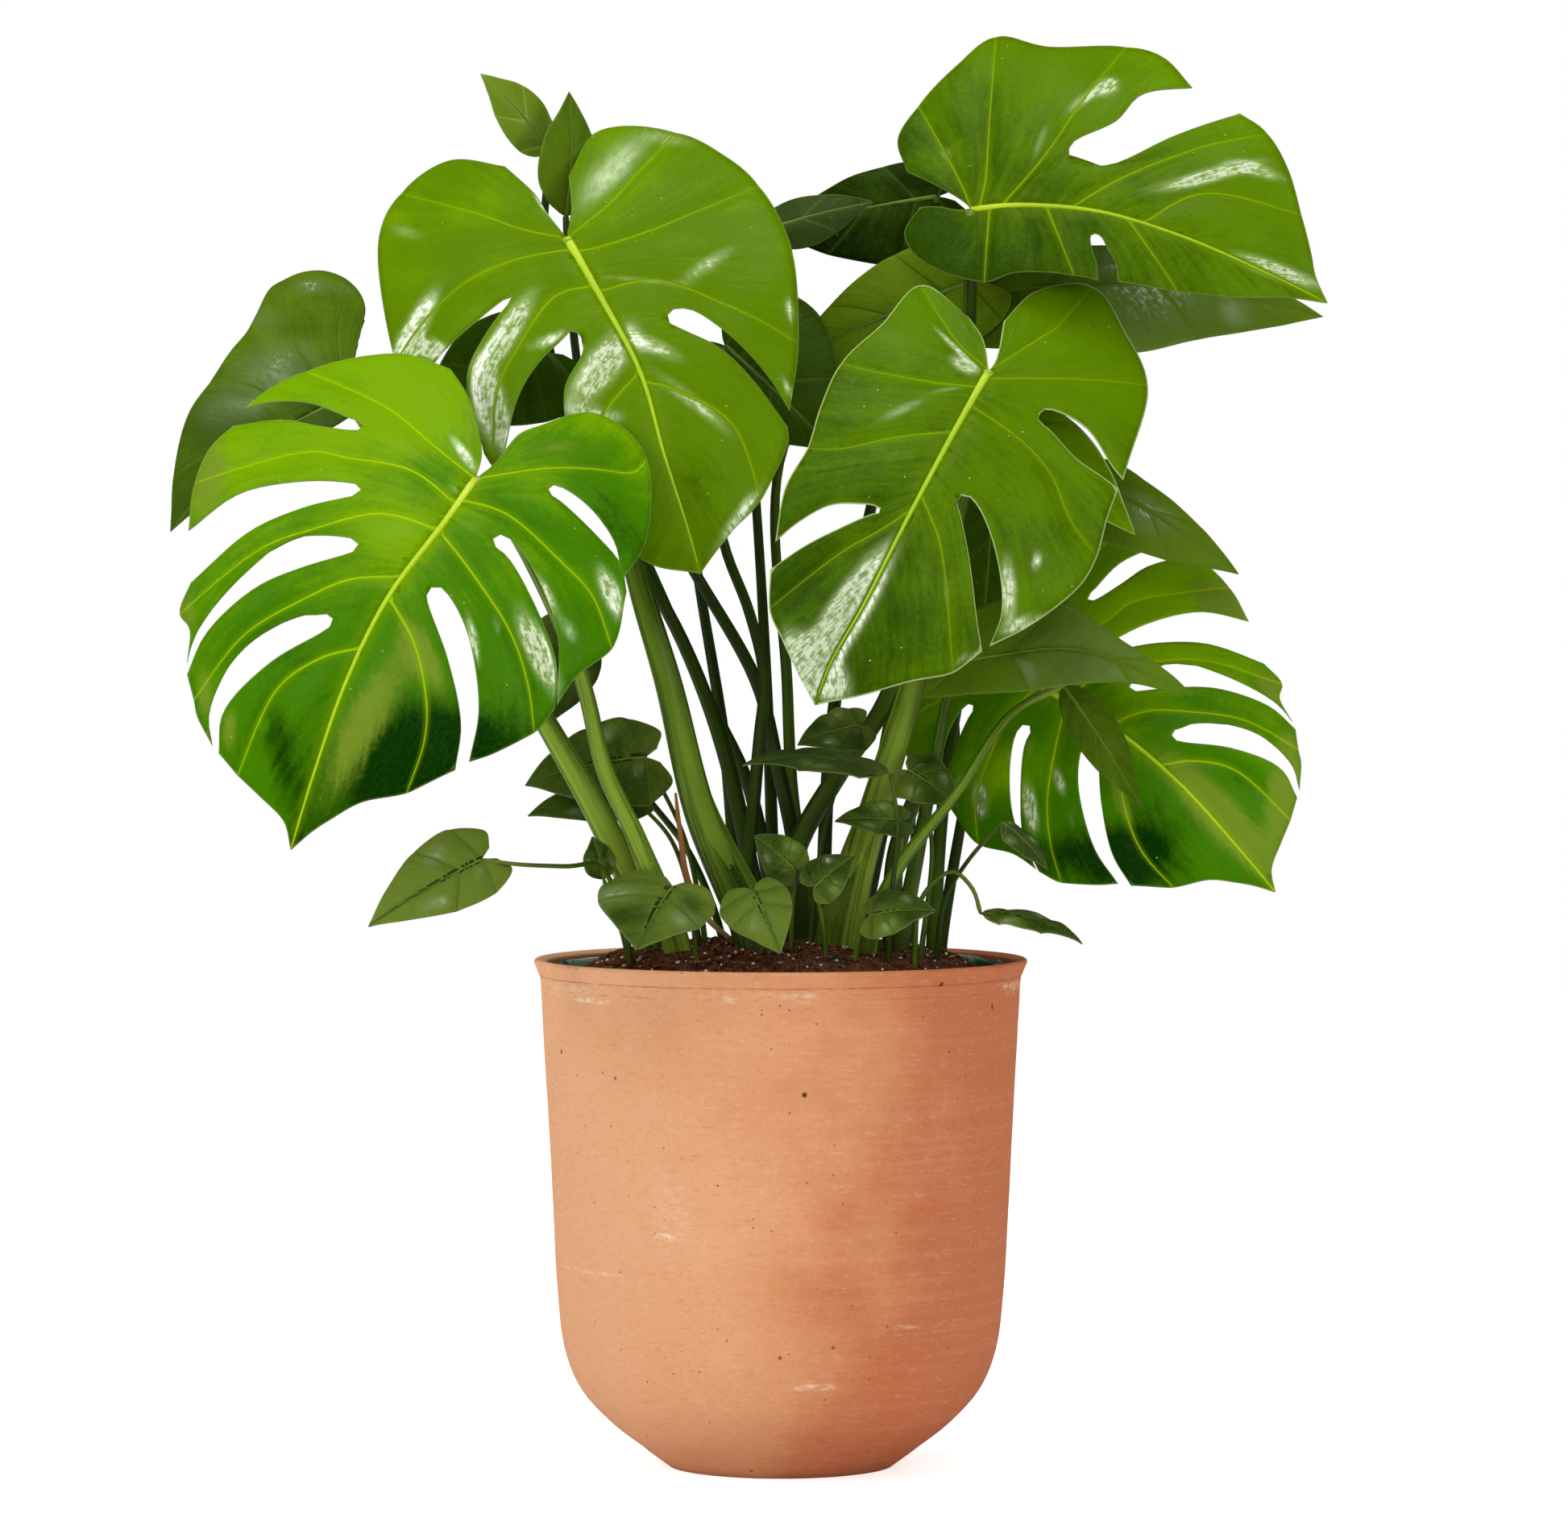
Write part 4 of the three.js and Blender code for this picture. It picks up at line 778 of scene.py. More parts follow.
def grow(leaf, shape, skins, base, tip, face, foot, via, radii, width=(1, 1), arch=0.06,
         dome=0.3, cells=24, cell=3.4, puff=1.5, crease=10.0, wave=3.0, shade=(0.3, 0.0, 0.5),
         light_and_shade_patches=(), painted_sheen=(), gloss=(), thickness=0.8, rib_width=3.0, rib_height=1.5, sides=16,
         steps=64, stalk=None, sheath=None, shoot=None, husk=None):
    """One leaf: its blade, the midrib on it and the stalk that carries it."""
    name = leaf + "_leaf"
    seed = sum(map(ord, name)) * 0.37
    bm = bmesh.new()
    surface, middle = blade(bm, shape, base, tip, face, width, arch, dome, cells, cell, puff,
                            crease, wave, shade, light_and_shade_patches, painted_sheen, gloss, thickness, seed)
    up = np.array(face, float)
    # the midrib lies in the front face and tapers to the tip
    at = np.linspace(0, RIB_END, RIB_STEPS)
    u, v = (np.interp(at, np.arange(101), part) / 100 for part in middle.T)
    line = surface(u, v)
    run = np.linspace(0, 1, RIB_STEPS)
    wide = rib_width * (1 - RIB_TAPER * run ** 0.7)
    wide[0] *= 0.8
    swept(bm, line[::-1], wide[::-1], 10, 2, flat=rib_height * wide[::-1] / rib_width, up=up)
    # the stalk stands in the soil and swells a little at its knee
    ground = soil_top(math.hypot(*foot))
    points = [(*foot, ground - SOIL_SINK), (*foot, ground + 1), *via, base]
    path = smooth_line(points, steps, 0.5)
    run = np.linspace(0, 1, steps)
    thick = radii[1] + (radii[0] - radii[1]) * (1 - run) ** 1.4
    left = (1 - run) * np.linalg.norm(np.diff(path, axis=0), axis=1).sum()
    thick = thick * (1 + KNEE_SWELL * np.exp(-(left - radii[1] * 2.5) ** 2 / (radii[1] * 2.2) ** 2))
    thick[-1] *= KNEE_NECK
    swept(bm, path, thick, sides, 3)
    if sheath:
        # its foot is wrapped in the open sheath that once held the next leaf
        lower = smooth_line(path[:round(steps * sheath[0])], SHEATH_STEPS)
        way = np.array((*sheath[1], 0)) / math.hypot(*sheath[1])
        left = np.linspace(1, 0, SHEATH_STEPS)
        swept(bm, lower + way * radii[0] * (0.15 + 0.55 * left[:, None]),
              radii[0] * (0.25 + 1.15 * left ** 0.7), 14, 3,
              flat=radii[0] * (0.15 + 0.45 * left), up=way)
    if shoot:
        blade(bm, OVAL, **shoot["blade"], arch=0.08, cells=8, cell=3, puff=0.6, crease=4, wave=1,
              shade=(0.2, 0, 0.1), light_and_shade_patches=(), painted_sheen=(), gloss=(), thickness=0.7, seed=seed)
        path = smooth_line((*shoot["path"], shoot["blade"]["base"]), 30, 0.5)
        swept(bm, path, np.linspace(*shoot["radii"], 30), 10, 3)
    slot_name, *materials, usual_stalk = skins
    materials.append(stalk or usual_stalk)
    if husk:
        path = smooth_line(husk, 30, 0.5)
        swept(bm, path, 2.0 * np.sin(np.linspace(0.15, 2.6, 30)) ** 0.5, 10, 4,
              flat=np.full(30, 0.3), up=(0, -1, 0))
        materials.append(husk_skin)
    piece(bm, name, "leaf_" + leaf, materials)


def group_of(name, inputs, outputs):
    """A new node group with its sockets, and its two end nodes."""
    group = bpy.data.node_groups.new(name, "ShaderNodeTree")
    for direction, sockets in (("INPUT", inputs), ("OUTPUT", outputs)):
        for key, kind in sockets:
            group.interface.new_socket(key, in_out=direction, socket_type="NodeSocket" + kind)
    return group, group.nodes.new("NodeGroupInput"), group.nodes.new("NodeGroupOutput")


def leaf_attribute(tree, name, output):
    return added(tree, "Attribute", attribute_name=name).outputs[output]


# near white, for the brightest painted highlights on the blades
GLINT = linear(232, 240, 218)

# what all blades share: streaks along the veins, a fine net, pale veins, a painted highlight along
# the rim, patches of coat gloss that also paint highlights and glints into the colour, a painted
# sheen, and a few small pale dots that are painted glints of drops
pattern, given, result = group_of("blade_pattern", (
    ("Painted Sheen", "Color"), ("Pale", "Color"), ("Body", "Color"), ("Deep", "Color"), ("Vein", "Color"),
    ("Highlight Colour", "Color"), ("Rim Highlight", "Float"), ("Vein Share", "Float"), ("Net Share", "Float"),
    ("Roughness", "Float")), (
    ("Color", "Color"), ("Roughness", "Float"), ("Height", "Float"), ("Gloss And Highlight", "Float")))
lay = leaf_attribute(pattern, "lay", "Vector")
vein_at = leaf_attribute(pattern, "vein", "Fac")
rim_at = leaf_attribute(pattern, "rim", "Fac")
tone = leaf_attribute(pattern, "tone", "Fac")
sheen_field = leaf_attribute(pattern, "painted_sheen", "Fac")
highlight_at = leaf_attribute(pattern, "gloss_and_highlight", "Fac")
place = added(pattern, "TexCoord").outputs["Object"]
cloud = cloudy(pattern, place, 22.0, 3.0)
streak = cloudy(pattern, lay, 1.0, 4.0, 0.6, (0.16, 0.022, 1.0))
fine = cloudy(pattern, lay, 1.0, 3.0, 0.6, (0.7, 0.09, 1.0))
pucker = cloudy(pattern, place, 300.0, 2.0)
pores = cloudy(pattern, place, 900.0, 2.0)
net = added(pattern, "TexVoronoi", {"Vector": lay, "Scale": 0.24}, feature="DISTANCE_TO_EDGE")
drop_glint = added(pattern, "TexVoronoi", {"Vector": place, "Scale": 70.0})
for field, share in ((cloud, 0.55), (streak, 0.4), (pucker, 0.18)):
    tone = swung(pattern, field, share, tone)
for field, share in ((streak, 0.9), (pucker, 0.5)):
    sheen_field = swung(pattern, field, share, sheen_field)
net_line = worked(pattern, "MULTIPLY", between(pattern, net.outputs["Distance"], 0.10, 0.02),
                  given.outputs["Net Share"])
halo = worked(pattern, "MULTIPLY", between(pattern, vein_at, 7.0, 0.0, 0.0, 0.22),
              given.outputs["Vein Share"])
line = worked(pattern, "MULTIPLY", between(pattern, vein_at, 1.25, 0.65),
              given.outputs["Vein Share"])
# painted highlight along the rim of the blade
edge = worked(pattern, "MULTIPLY", between(pattern, rim_at, 1.1, 0.4), given.outputs["Rim Highlight"])
broken = worked(pattern, "MULTIPLY_ADD", fine, 0.6, worked(pattern, "MULTIPLY", pucker, 0.4))
# the mask of gloss and painted highlight, broken by streaks and kept off the veins
gloss_and_highlight = worked(pattern, "MULTIPLY", between(pattern, highlight_at, 0.08, 1.0),
             between(pattern, broken, 0.36, 0.60, 0.42, 1.0))
gloss_and_highlight = worked(pattern, "MULTIPLY", gloss_and_highlight, between(pattern, vein_at, 0.8, 3.0))
# the colour goes from pale through body to deep by the tone, which holds painted light and shade as
# well as the leaf's own colour
colour = given.outputs["Pale"]
for share, coat in (
        (between(pattern, tone, 0.0, 0.5), given.outputs["Body"]),
        (between(pattern, tone, 0.5, 1.0), given.outputs["Deep"]),
        # the painted sheen
        (between(pattern, sheen_field, 0.25, 1.0, 0.0, 0.95), given.outputs["Painted Sheen"]),
        (net_line, given.outputs["Vein"]),
        (halo, given.outputs["Vein"]),
        (line, given.outputs["Vein"]),
        (edge, given.outputs["Highlight Colour"]),
        # painted highlights: the pale highlight colour, and near white at the strongest places
        (worked(pattern, "MULTIPLY", gloss_and_highlight, 0.75), given.outputs["Highlight Colour"]),
        (between(pattern, gloss_and_highlight, 0.55, 1.0, 0.0, 0.6), GLINT),
        # painted glints: a small pale dot in each cell of a pattern, as on drops of water
        (between(pattern, drop_glint.outputs["Distance"], 0.045, 0.03, 0.0, 0.7),
         given.outputs["Highlight Colour"])):
    colour = mixed(pattern, share, colour, coat)
height = worked(pattern, "MULTIPLY", fine, 0.28)
for field, share in ((streak, 1.4), (net_line, -0.3), (pores, 0.03), (pucker, 0.5),
                     (between(pattern, vein_at, 1.8, 0.2), -0.35)):
    height = worked(pattern, "MULTIPLY_ADD", field, share, height)
for key, value in (("Color", colour), ("Height", height),
                   ("Roughness", swung(pattern, fine, 0.24, given.outputs["Roughness"])),
                   ("Gloss And Highlight", worked(pattern, "MULTIPLY", gloss_and_highlight, 0.9))):
    pattern.links.new(value, result.inputs[key])

def blade_finish(name, sheen_colour, pale, body, deep, vein_colour, vein_share, net_share, rough,
                 bump=0.8, highlight_colour=(150, 174, 96), rim_highlight=0.2):
    """Leaf skin: its colours from pale to deep, how clear its veins and net are, and how strong the
    painted highlight along its edge is.
    """
    material, tree, shader = finish(name)
    colours = {"Painted Sheen": sheen_colour, "Pale": pale, "Body": body, "Deep": deep, "Vein": vein_colour,
               "Highlight Colour": highlight_colour}
    inputs = {key: linear(*colour) for key, colour in colours.items()}
    inputs.update({"Vein Share": vein_share, "Net Share": net_share, "Roughness": rough,
                   "Rim Highlight": rim_highlight})
    look = added(tree, "Group", inputs, node_tree=pattern).outputs
    dressed(tree, shader, {"Base Color": look["Color"], "Roughness": look["Roughness"],
                           "Specular IOR Level": 0.015, "Coat Weight": look["Gloss And Highlight"],
                           "Coat Roughness": 0.24}, look["Height"], bump, 0.0008)
    return material

def stalk_finish(name, dark, light, knee_colour):
    """Fresh stalk skin: stripes and fine streaks along it, and paler towards its knee."""
    material, tree, shader = finish(name)
    dark, light, pale = (linear(*colour) for colour in (dark, light, knee_colour))
    place = added(tree, "TexCoord").outputs["Object"]
    lay = leaf_attribute(tree, "lay", "Vector")
    streaks = cloudy(tree, lay, 1.0, 3.0, 0.6, (0.55, 0.55, 0.012))
    broad = cloudy(tree, lay, 1.0, 2.0, 0.5, (0.13, 0.13, 0.004))
    blotch = cloudy(tree, place, 34.0, 3.0)
    specks = added(tree, "TexVoronoi", {"Vector": place, "Scale": 420.0}).outputs["Distance"]
    stripes = worked(tree, "MULTIPLY_ADD", streaks, 0.35, worked(tree, "MULTIPLY", broad, 0.65))
    colour = mixed(tree, between(tree, stripes, 0.36, 0.64), dark, light)
    colour = mixed(tree, between(tree, blotch, 0.5, 0.8, 0.0, 0.35), colour, light)
    colour = mixed(tree, between(tree, specks, 0.22, 0.1, 0.0, 0.5), colour, pale)
    near = leaf_attribute(tree, "knee", "Fac")
    colour = mixed(tree, between(tree, near, 40.0, 8.0, 0.0, 0.75), colour, pale)
    dressed(tree, shader, {"Base Color": colour,
                           "Roughness": between(tree, streaks, 0.3, 0.7, 0.5, 0.38),
                           "Specular IOR Level": 0.2}, streaks, 0.3, 0.0006)
    return material

# the same stalk skin in shaded and lit copies, darker for stalks behind and lighter for stalks in
# front: painted shade and painted light
stalk_skin = stalk_finish("stalk_skin", (36, 56, 8), (86, 112, 26), (108, 132, 46))
stalk_painted_lit = stalk_finish("stalk_painted_lit", (44, 70, 8), (116, 146, 40), (144, 168, 66))
stalk_painted_shade = stalk_finish("stalk_painted_shade", (26, 40, 6), (62, 84, 18), (86, 106, 36))
stalk_painted_most_lit = stalk_finish("stalk_painted_most_lit", (58, 88, 12), (144, 172, 52), (164, 184, 74))
rib_glossy = stalk_finish("rib_glossy", (150, 184, 6), (176, 208, 14), (190, 214, 40))
rib_young = stalk_finish("rib_young", (170, 202, 12), (190, 220, 30), (208, 226, 70))
husk_skin = stalk_finish("dry_husk", (168, 104, 52), (214, 158, 96), (226, 184, 130))
rib_dark = stalk_finish("rib_dark", (84, 108, 20), (104, 128, 34), (120, 142, 50))
back_skin = blade_finish("blade_back", (130, 150, 60), (112, 138, 28), (88, 116, 16),
                         (60, 84, 14), (60, 84, 20), 0.6, 0.2, 0.6)
glossy_skin = blade_finish("blade_glossy", (140, 168, 50), (114, 155, 0), (88, 124, 0),
                           (44, 70, 0), (156, 188, 10), 0.4, 0.02, 0.3, highlight_colour=(168, 192, 110))
# a strong painted highlight along the rim
rim_lit_skin = blade_finish("blade_rim_lit", (140, 168, 50), (114, 155, 0), (88, 124, 0),
                          (44, 70, 0), (150, 188, 10), 0.35, 0.02, 0.3, highlight_colour=(186, 208, 140),
                          rim_highlight=0.75)
young_skin = blade_finish("blade_young", (112, 138, 40), (116, 160, 0), (66, 120, 0),
                          (14, 52, 0), (164, 200, 12), 0.7, 0.02, 0.32, highlight_colour=(168, 192, 110))
dark_skin = blade_finish("blade_dark", (112, 130, 58), (92, 120, 26), (60, 86, 14),
                         (26, 42, 6), (96, 122, 42), 0.3, 0.05, 0.36, highlight_colour=(116, 136, 84))
small_skin = blade_finish("blade_small", (132, 152, 64), (112, 134, 50), (62, 82, 28),
                          (26, 42, 10), (100, 122, 56), 0.32, 0.16, 0.4, bump=1.6,
                          highlight_colour=(158, 174, 128))
grey_skin = blade_finish("blade_grey", (110, 124, 84), (88, 104, 56), (62, 78, 34),
                         (30, 40, 14), (104, 120, 70), 0.4, 0.1, 0.4)
fresh_skin = blade_finish("blade_fresh", (150, 164, 110), (136, 156, 70), (108, 134, 36),
                          (80, 112, 16), (150, 174, 80), 0.6, 0.06, 0.4)
# for each kind of leaf: its material slot, then the skins of its face, back, midrib and stalk
glossy = ("leaf_glossy", glossy_skin, back_skin, rib_glossy, stalk_skin)
rim_lit = ("leaf_glossy", rim_lit_skin, back_skin, rib_glossy, stalk_skin)
young = ("leaf_young", young_skin, back_skin, rib_young, stalk_skin)
dark = ("leaf_dark", dark_skin, back_skin, rib_dark, stalk_skin)
fresh = ("leaf_young", fresh_skin, back_skin, rib_dark, stalk_skin)
low = ("leaf_dark", small_skin, back_skin, rib_dark, stalk_skin)
grey = ("leaf_dark", grey_skin, back_skin, rib_dark, stalk_painted_shade)
underside = ("leaf_dark", back_skin, dark_skin, rib_dark, stalk_skin)

UPPER_LEFT = {
    "mid": ((0, 0), (21, 2), (45, 4), (68, 2), (88, 1), (100, 0)),
    "pos": (
      rib(0, (-8, 4), (-19, 7)),
      rib(0, (-13, 8), (-31, 19)),
      vein(0, (-6, 13), (-13, 23), (-24, 38)),
      rib(0, (1, 12), (-4, 29), (-12, 47)),
      vein(5, (6, 9), (5, 25), (0, 52)),
      rib(10, (13, 17), (16, 33), (21, 53)),
      vein(19, (21, 17), (33, 31), (49, 45)),
      slot(29, (32, 16), ((32, 22), (41, 28), (56, 34), (67, 36)),
        ((37, 18), (45, 25), (56, 30), (71, 34))),
      rib(37, (43, 14), (56, 24), (76, 32)),
      vein(48, (52, 10), (66, 21), (87, 21)),
      rib(67, (76, 8), (93, 11)),
      rib(84, (91, 2), (98, 3)),
    ),
    "neg": (
      rib(0, (-9, -2), (-17, -3), (-29, -7)),
      rib(0, (-12, -5), (-25, -11), (-38, -19)),
      vein(0, (-7, -9), (-18, -19), (-34, -34)),
      rib(2, (-5, -10), (-11, -23), (-22, -44)),
      vein(4, (1, -14), (2, -28), (9, -43), (16, -52)),
      slot(12, (12, -19), ((13, -24), (15, -29), (19, -39), (26, -50)),
        ((14, -21), (20, -29), (29, -37), (51, -40))),
      vein(17, (16, -9), (26, -22), (37, -32), (55, -39)),
      slot(25, (29, -7), ((29, -11), (33, -19), (40, -27), (56, -37)),
        ((35, -8), (42, -15), (50, -18), (56, -19))),
      vein(45, (50, -5), (57, -13), (68, -20)),
      rib(61, (70, -6), (82, -18)),
      rib(80, (88, -5), (94, -11)),
    ),
}

SPLIT = {
    "mid": ((0, 0), (15, -1), (38, -4), (60, -4), (82, -2), (100, 0)),
    "neg": (
      rib(0, (-8, -2), (-21, -11), (-29, -20)),
      rib(0, (-13, -10), (-23, -20), (-29, -33)),
      vein(0, (-5, -13), (-12, -29), (-16, -51)),
      rib(3, (-4, -20), (-9, -40), (-6, -57)),
      slot(6, (-4, -30), ((-5, -34), (-6, -45), (-3, -55), (0, -59)),
        ((-2, -31), (0, -41), (1, -49), (6, -59))),
      rib(7, (2, -22), (5, -41), (14, -61)),
      vein(9, (4, -14), (6, -29), (8, -40), (24, -60)),
      slot(13, (14, -22), ((13, -25), (16, -35), (24, -48), (37, -55)),
        ((17, -24), (23, -32), (33, -41), (50, -48))),
      vein(17, (18, -15), (27, -27), (37, -37), (58, -47)),
      rib(22, (23, -16), (29, -28), (41, -38), (61, -43)),
      slot(27, (28, -16), ((27, -18), (31, -30), (44, -37), (62, -41), (69, -40)),
        ((30, -16), (38, -25), (47, -33), (61, -39), (71, -39))),
      vein(32, (37, -14), (46, -22), (59, -31), (76, -35)),
      rib(39, (45, -15), (55, -26), (67, -32), (80, -32)),
      slot(46, (48, -13), ((48, -16), (51, -22), (64, -30), (78, -30), (85, -26)),
        ((52, -14), (63, -22), (77, -27), (86, -24))),
      vein(52, (58, -12), (69, -18), (89, -18)),
      rib(64, (75, -8), (92, -11)),
      rib(80, (88, -3), (95, -4)),
    ),
    "pos": (
      rib(0, (-6, 2), (-16, 3), (-20, 5)),
      rib(0, (-10, 5), (-20, 11), (-32, 15)),
      vein(0, (-10, 12), (-16, 22), (-20, 30), (-26, 31)),
      rib(3, (-6, 10), (-11, 20), (-10, 30), (-4, 41)),
      slot(5, (-5, 16), ((-7, 18), (-5, 26), (1, 35), (10, 41)),
        ((-3, 20), (2, 32), (6, 39), (12, 43))),
      vein(7, (6, 11), (12, 27), (17, 37), (27, 46)),
      rib(10, (11, 13), (19, 28), (31, 38), (38, 42)),
      slot(13, (14, 11), ((12, 14), (17, 22), (30, 34), (46, 41)),
        ((17, 16), (27, 28), (37, 37), (47, 41))),
      vein(17, (24, 10), (34, 24), (44, 33), (54, 39)),
      rib(23, (29, 10), (39, 22), (51, 29), (63, 33)),
      slot(27, (32, 4), ((32, 8), (39, 16), (55, 26), (67, 29)),
        ((36, 5), (47, 15), (60, 24), (70, 27))),
      vein(38, (46, 6), (57, 14), (67, 18), (79, 19)),
      rib(52, (62, 5), (72, 9), (85, 11)),
      rib(68, (77, 3), (91, 6)),
      rib(83, (89, 1), (95, 3)),
    ),
}

MIDDLE_RIGHT = {
    "mid": ((0, 0), (20, 0), (50, 0), (73, 0), (89, -1), (100, 0)),
    "neg": (
      rib(0, (-8, -5), (-13, -11)),
      vein(0, (-5, -11), (-18, -26)),
      rib(0, (-1, -14), (-1, -29)),
      vein(6, (10, -11), (13, -25), (14, -33)),
      rib(13, (20, -14), (28, -32)),
      vein(21, (29, -12), (37, -22), (40, -30)),
      rib(33, (41, -13), (53, -30)),
      slot(42, (49, -7), ((50, -12), (53, -18), (60, -23), (67, -26)),
        ((51, -8), (57, -13), (65, -19), (74, -24))),
      vein(45, (53, -4), (64, -11), (83, -20)),
      rib(57, (70, -4), (89, -14)),
      rib(72, (83, -3), (95, -7)),
    ),
    "pos": (
      rib(0, (-5, 0), (-16, -3)),
      rib(0, (-12, 2), (-30, 0)),
      vein(0, (-17, 7), (-23, 9), (-40, 11)),
      rib(0, (-14, 14), (-30, 24)),
      vein(3, (-4, 11), (-12, 24), (-18, 35)),
      slot(7, (6, 16), ((3, 20), (4, 28), (10, 37), (12, 41)),
        ((9, 20), (13, 29), (14, 36), (15, 41))),
      rib(10, (15, 18), (19, 31), (24, 42)),
      vein(12, (15, 14), (20, 25), (29, 34), (35, 44)),
      rib(22, (28, 17), (39, 33), (47, 43)),
      rib(28, (37, 20), (50, 31), (60, 37)),
      slot(33, (37, 9), ((39, 15), (49, 24), (60, 30), (69, 31)),
        ((42, 11), (52, 18), (65, 26), (71, 30))),
      vein(41, (50, 9), (61, 16), (79, 26)),
      rib(57, (70, 10), (86, 18)),
      rib(77, (86, 6), (94, 9)),
    ),
}

UPPER_RIGHT = {
    "mid": ((0, 0), (13, 4), (34, 7), (57, 6), (80, 3), (100, 0)),
    "pos": (
      rib(0, (-3, 2), (-11, 5), (-21, 8)),
      rib(0, (-12, 10), (-27, 18)),
      vein(0, (-5, 7), (-16, 20), (-25, 30)),
      rib(0, (-4, 15), (-13, 33), (-19, 46)),
      vein(2, (1, 10), (-4, 29), (-12, 59)),
      rib(5, (7, 23), (6, 43), (4, 58)),
      vein(8, (14, 19), (19, 41), (24, 64)),
      rib(13, (20, 27), (27, 44), (36, 62)),
      slot(18, (21, 22), ((21, 27), (30, 36), (34, 47), (46, 54)),
        ((24, 19), (33, 22), (46, 36), (61, 49))),
      vein(27, (38, 20), (54, 35), (70, 45)),
      rib(38, (50, 18), (65, 30), (79, 35)),
      vein(47, (60, 21), (86, 23)),
      rib(64, (77, 11), (92, 12)),
      rib(80, (88, 5), (95, 6)),
    ),
    "neg": (
      rib(0, (-4, -1), (-9, -1), (-14, -2)),
      rib(0, (-6, -6), (-16, -10)),
      rib(0, (-3, -10), (-11, -16)),
      rib(2, (4, -11), (1, -20)),
      vein(5, (8, -12), (10, -20)),
      rib(12, (17, -6), (18, -16)),
      vein(20, (31, -10), (33, -13)),
      slot(28, (35, 0), ((36, -5), (38, -8), (40, -13)), ((40, -4), (43, -7), (45, -12))),
      vein(42, (57, -6), (61, -10)),
      rib(59, (69, -1), (77, -7)),
      rib(75, (83, 0), (88, -3)),
    ),
}

OVAL_HALF = (
    rib(0, (1, -3), (2, -7)),
    rib(2, (6, -10), (9, -20)),
    vein(8, (17, -16), (24, -30)),
    rib(22, (34, -17), (43, -33)),
    vein(38, (52, -14), (64, -26)),
    rib(60, (72, -8), (84, -12)),
)
STRAIGHT = ((0, 0), (50, 0), (100, 0))
OVAL = {"mid": STRAIGHT, "neg": OVAL_HALF, "pos": mirrored_half(OVAL_HALF)}
SHOOT = {"blade": {"base": (150, -46, 640), "tip": (212, -60, 564), "face": (-0.4, -1, 0.3),
                   "width": (0.6, 0.5), "dome": -3},
         "path": ((104, -46, 574), (120, -49, 612), (137, -45, 637)), "radii": (3, 1.8)}

grow("upper_left", UPPER_LEFT, glossy, base=(-128, -45, 742), tip=(-47, -135, 541),
     face=(0, -1, 0.4), dome=0.25, foot=(-16, -42), via=((-48, -54, 398), (-67, -50, 475),
     (-87, -35, 543), (-109, -14, 654)), radii=(12, 4.5), shade=(0.2, 0.0, 0.5), puff=3.2,
     sheath=(0.34, (0.6, -1)), wave=4.0, gloss=((-17, 18, 5.0, 0.62, 3.4, 126),
     (-22, 36, 2.5, 0.6, 2.6, 58), (-12, -2, 1.0, 1.2, 4.9, 11), (11, -46, 2.6, 2.4, 3.8, 135),
     (17, -43, 2.0, 2.1, 2.9, 45), (22, -24, 2.6, 1.9, 4.4, -49), (39, -34, 3.2, 2.3, 3.4, -6),
     (28, -14, 1.5, 1.1, 3.8, 85), (40, -4, 3.8, 1.9, 2.8, -53), (52, -11, 2.1, 1.0, 3.3, 60),
     (40, 10, 2.1, 1.1, 3.2, 42), (58, 14, 1.9, 0.9, 6.1, 29), (21, 30, 1.9, 0.9, 4.3, 112),
     (20, 14, 0.8, 0.8, 12.6, 65), (40, 46, 1.2, 0.8, 2.9, -16), (62, 38, 1.2, 1.0, 3.2, 7),
     (90, 14, 1.7, 1.1, 5.8, 125), (-20, -37, 2.1, 0.6, 2.4, 37)), husk=((-63, -52, 410),
     (-60, -54, 385), (-56, -55, 359), (-44, -52, 335), (-30, -46, 322)), stalk=stalk_painted_lit)
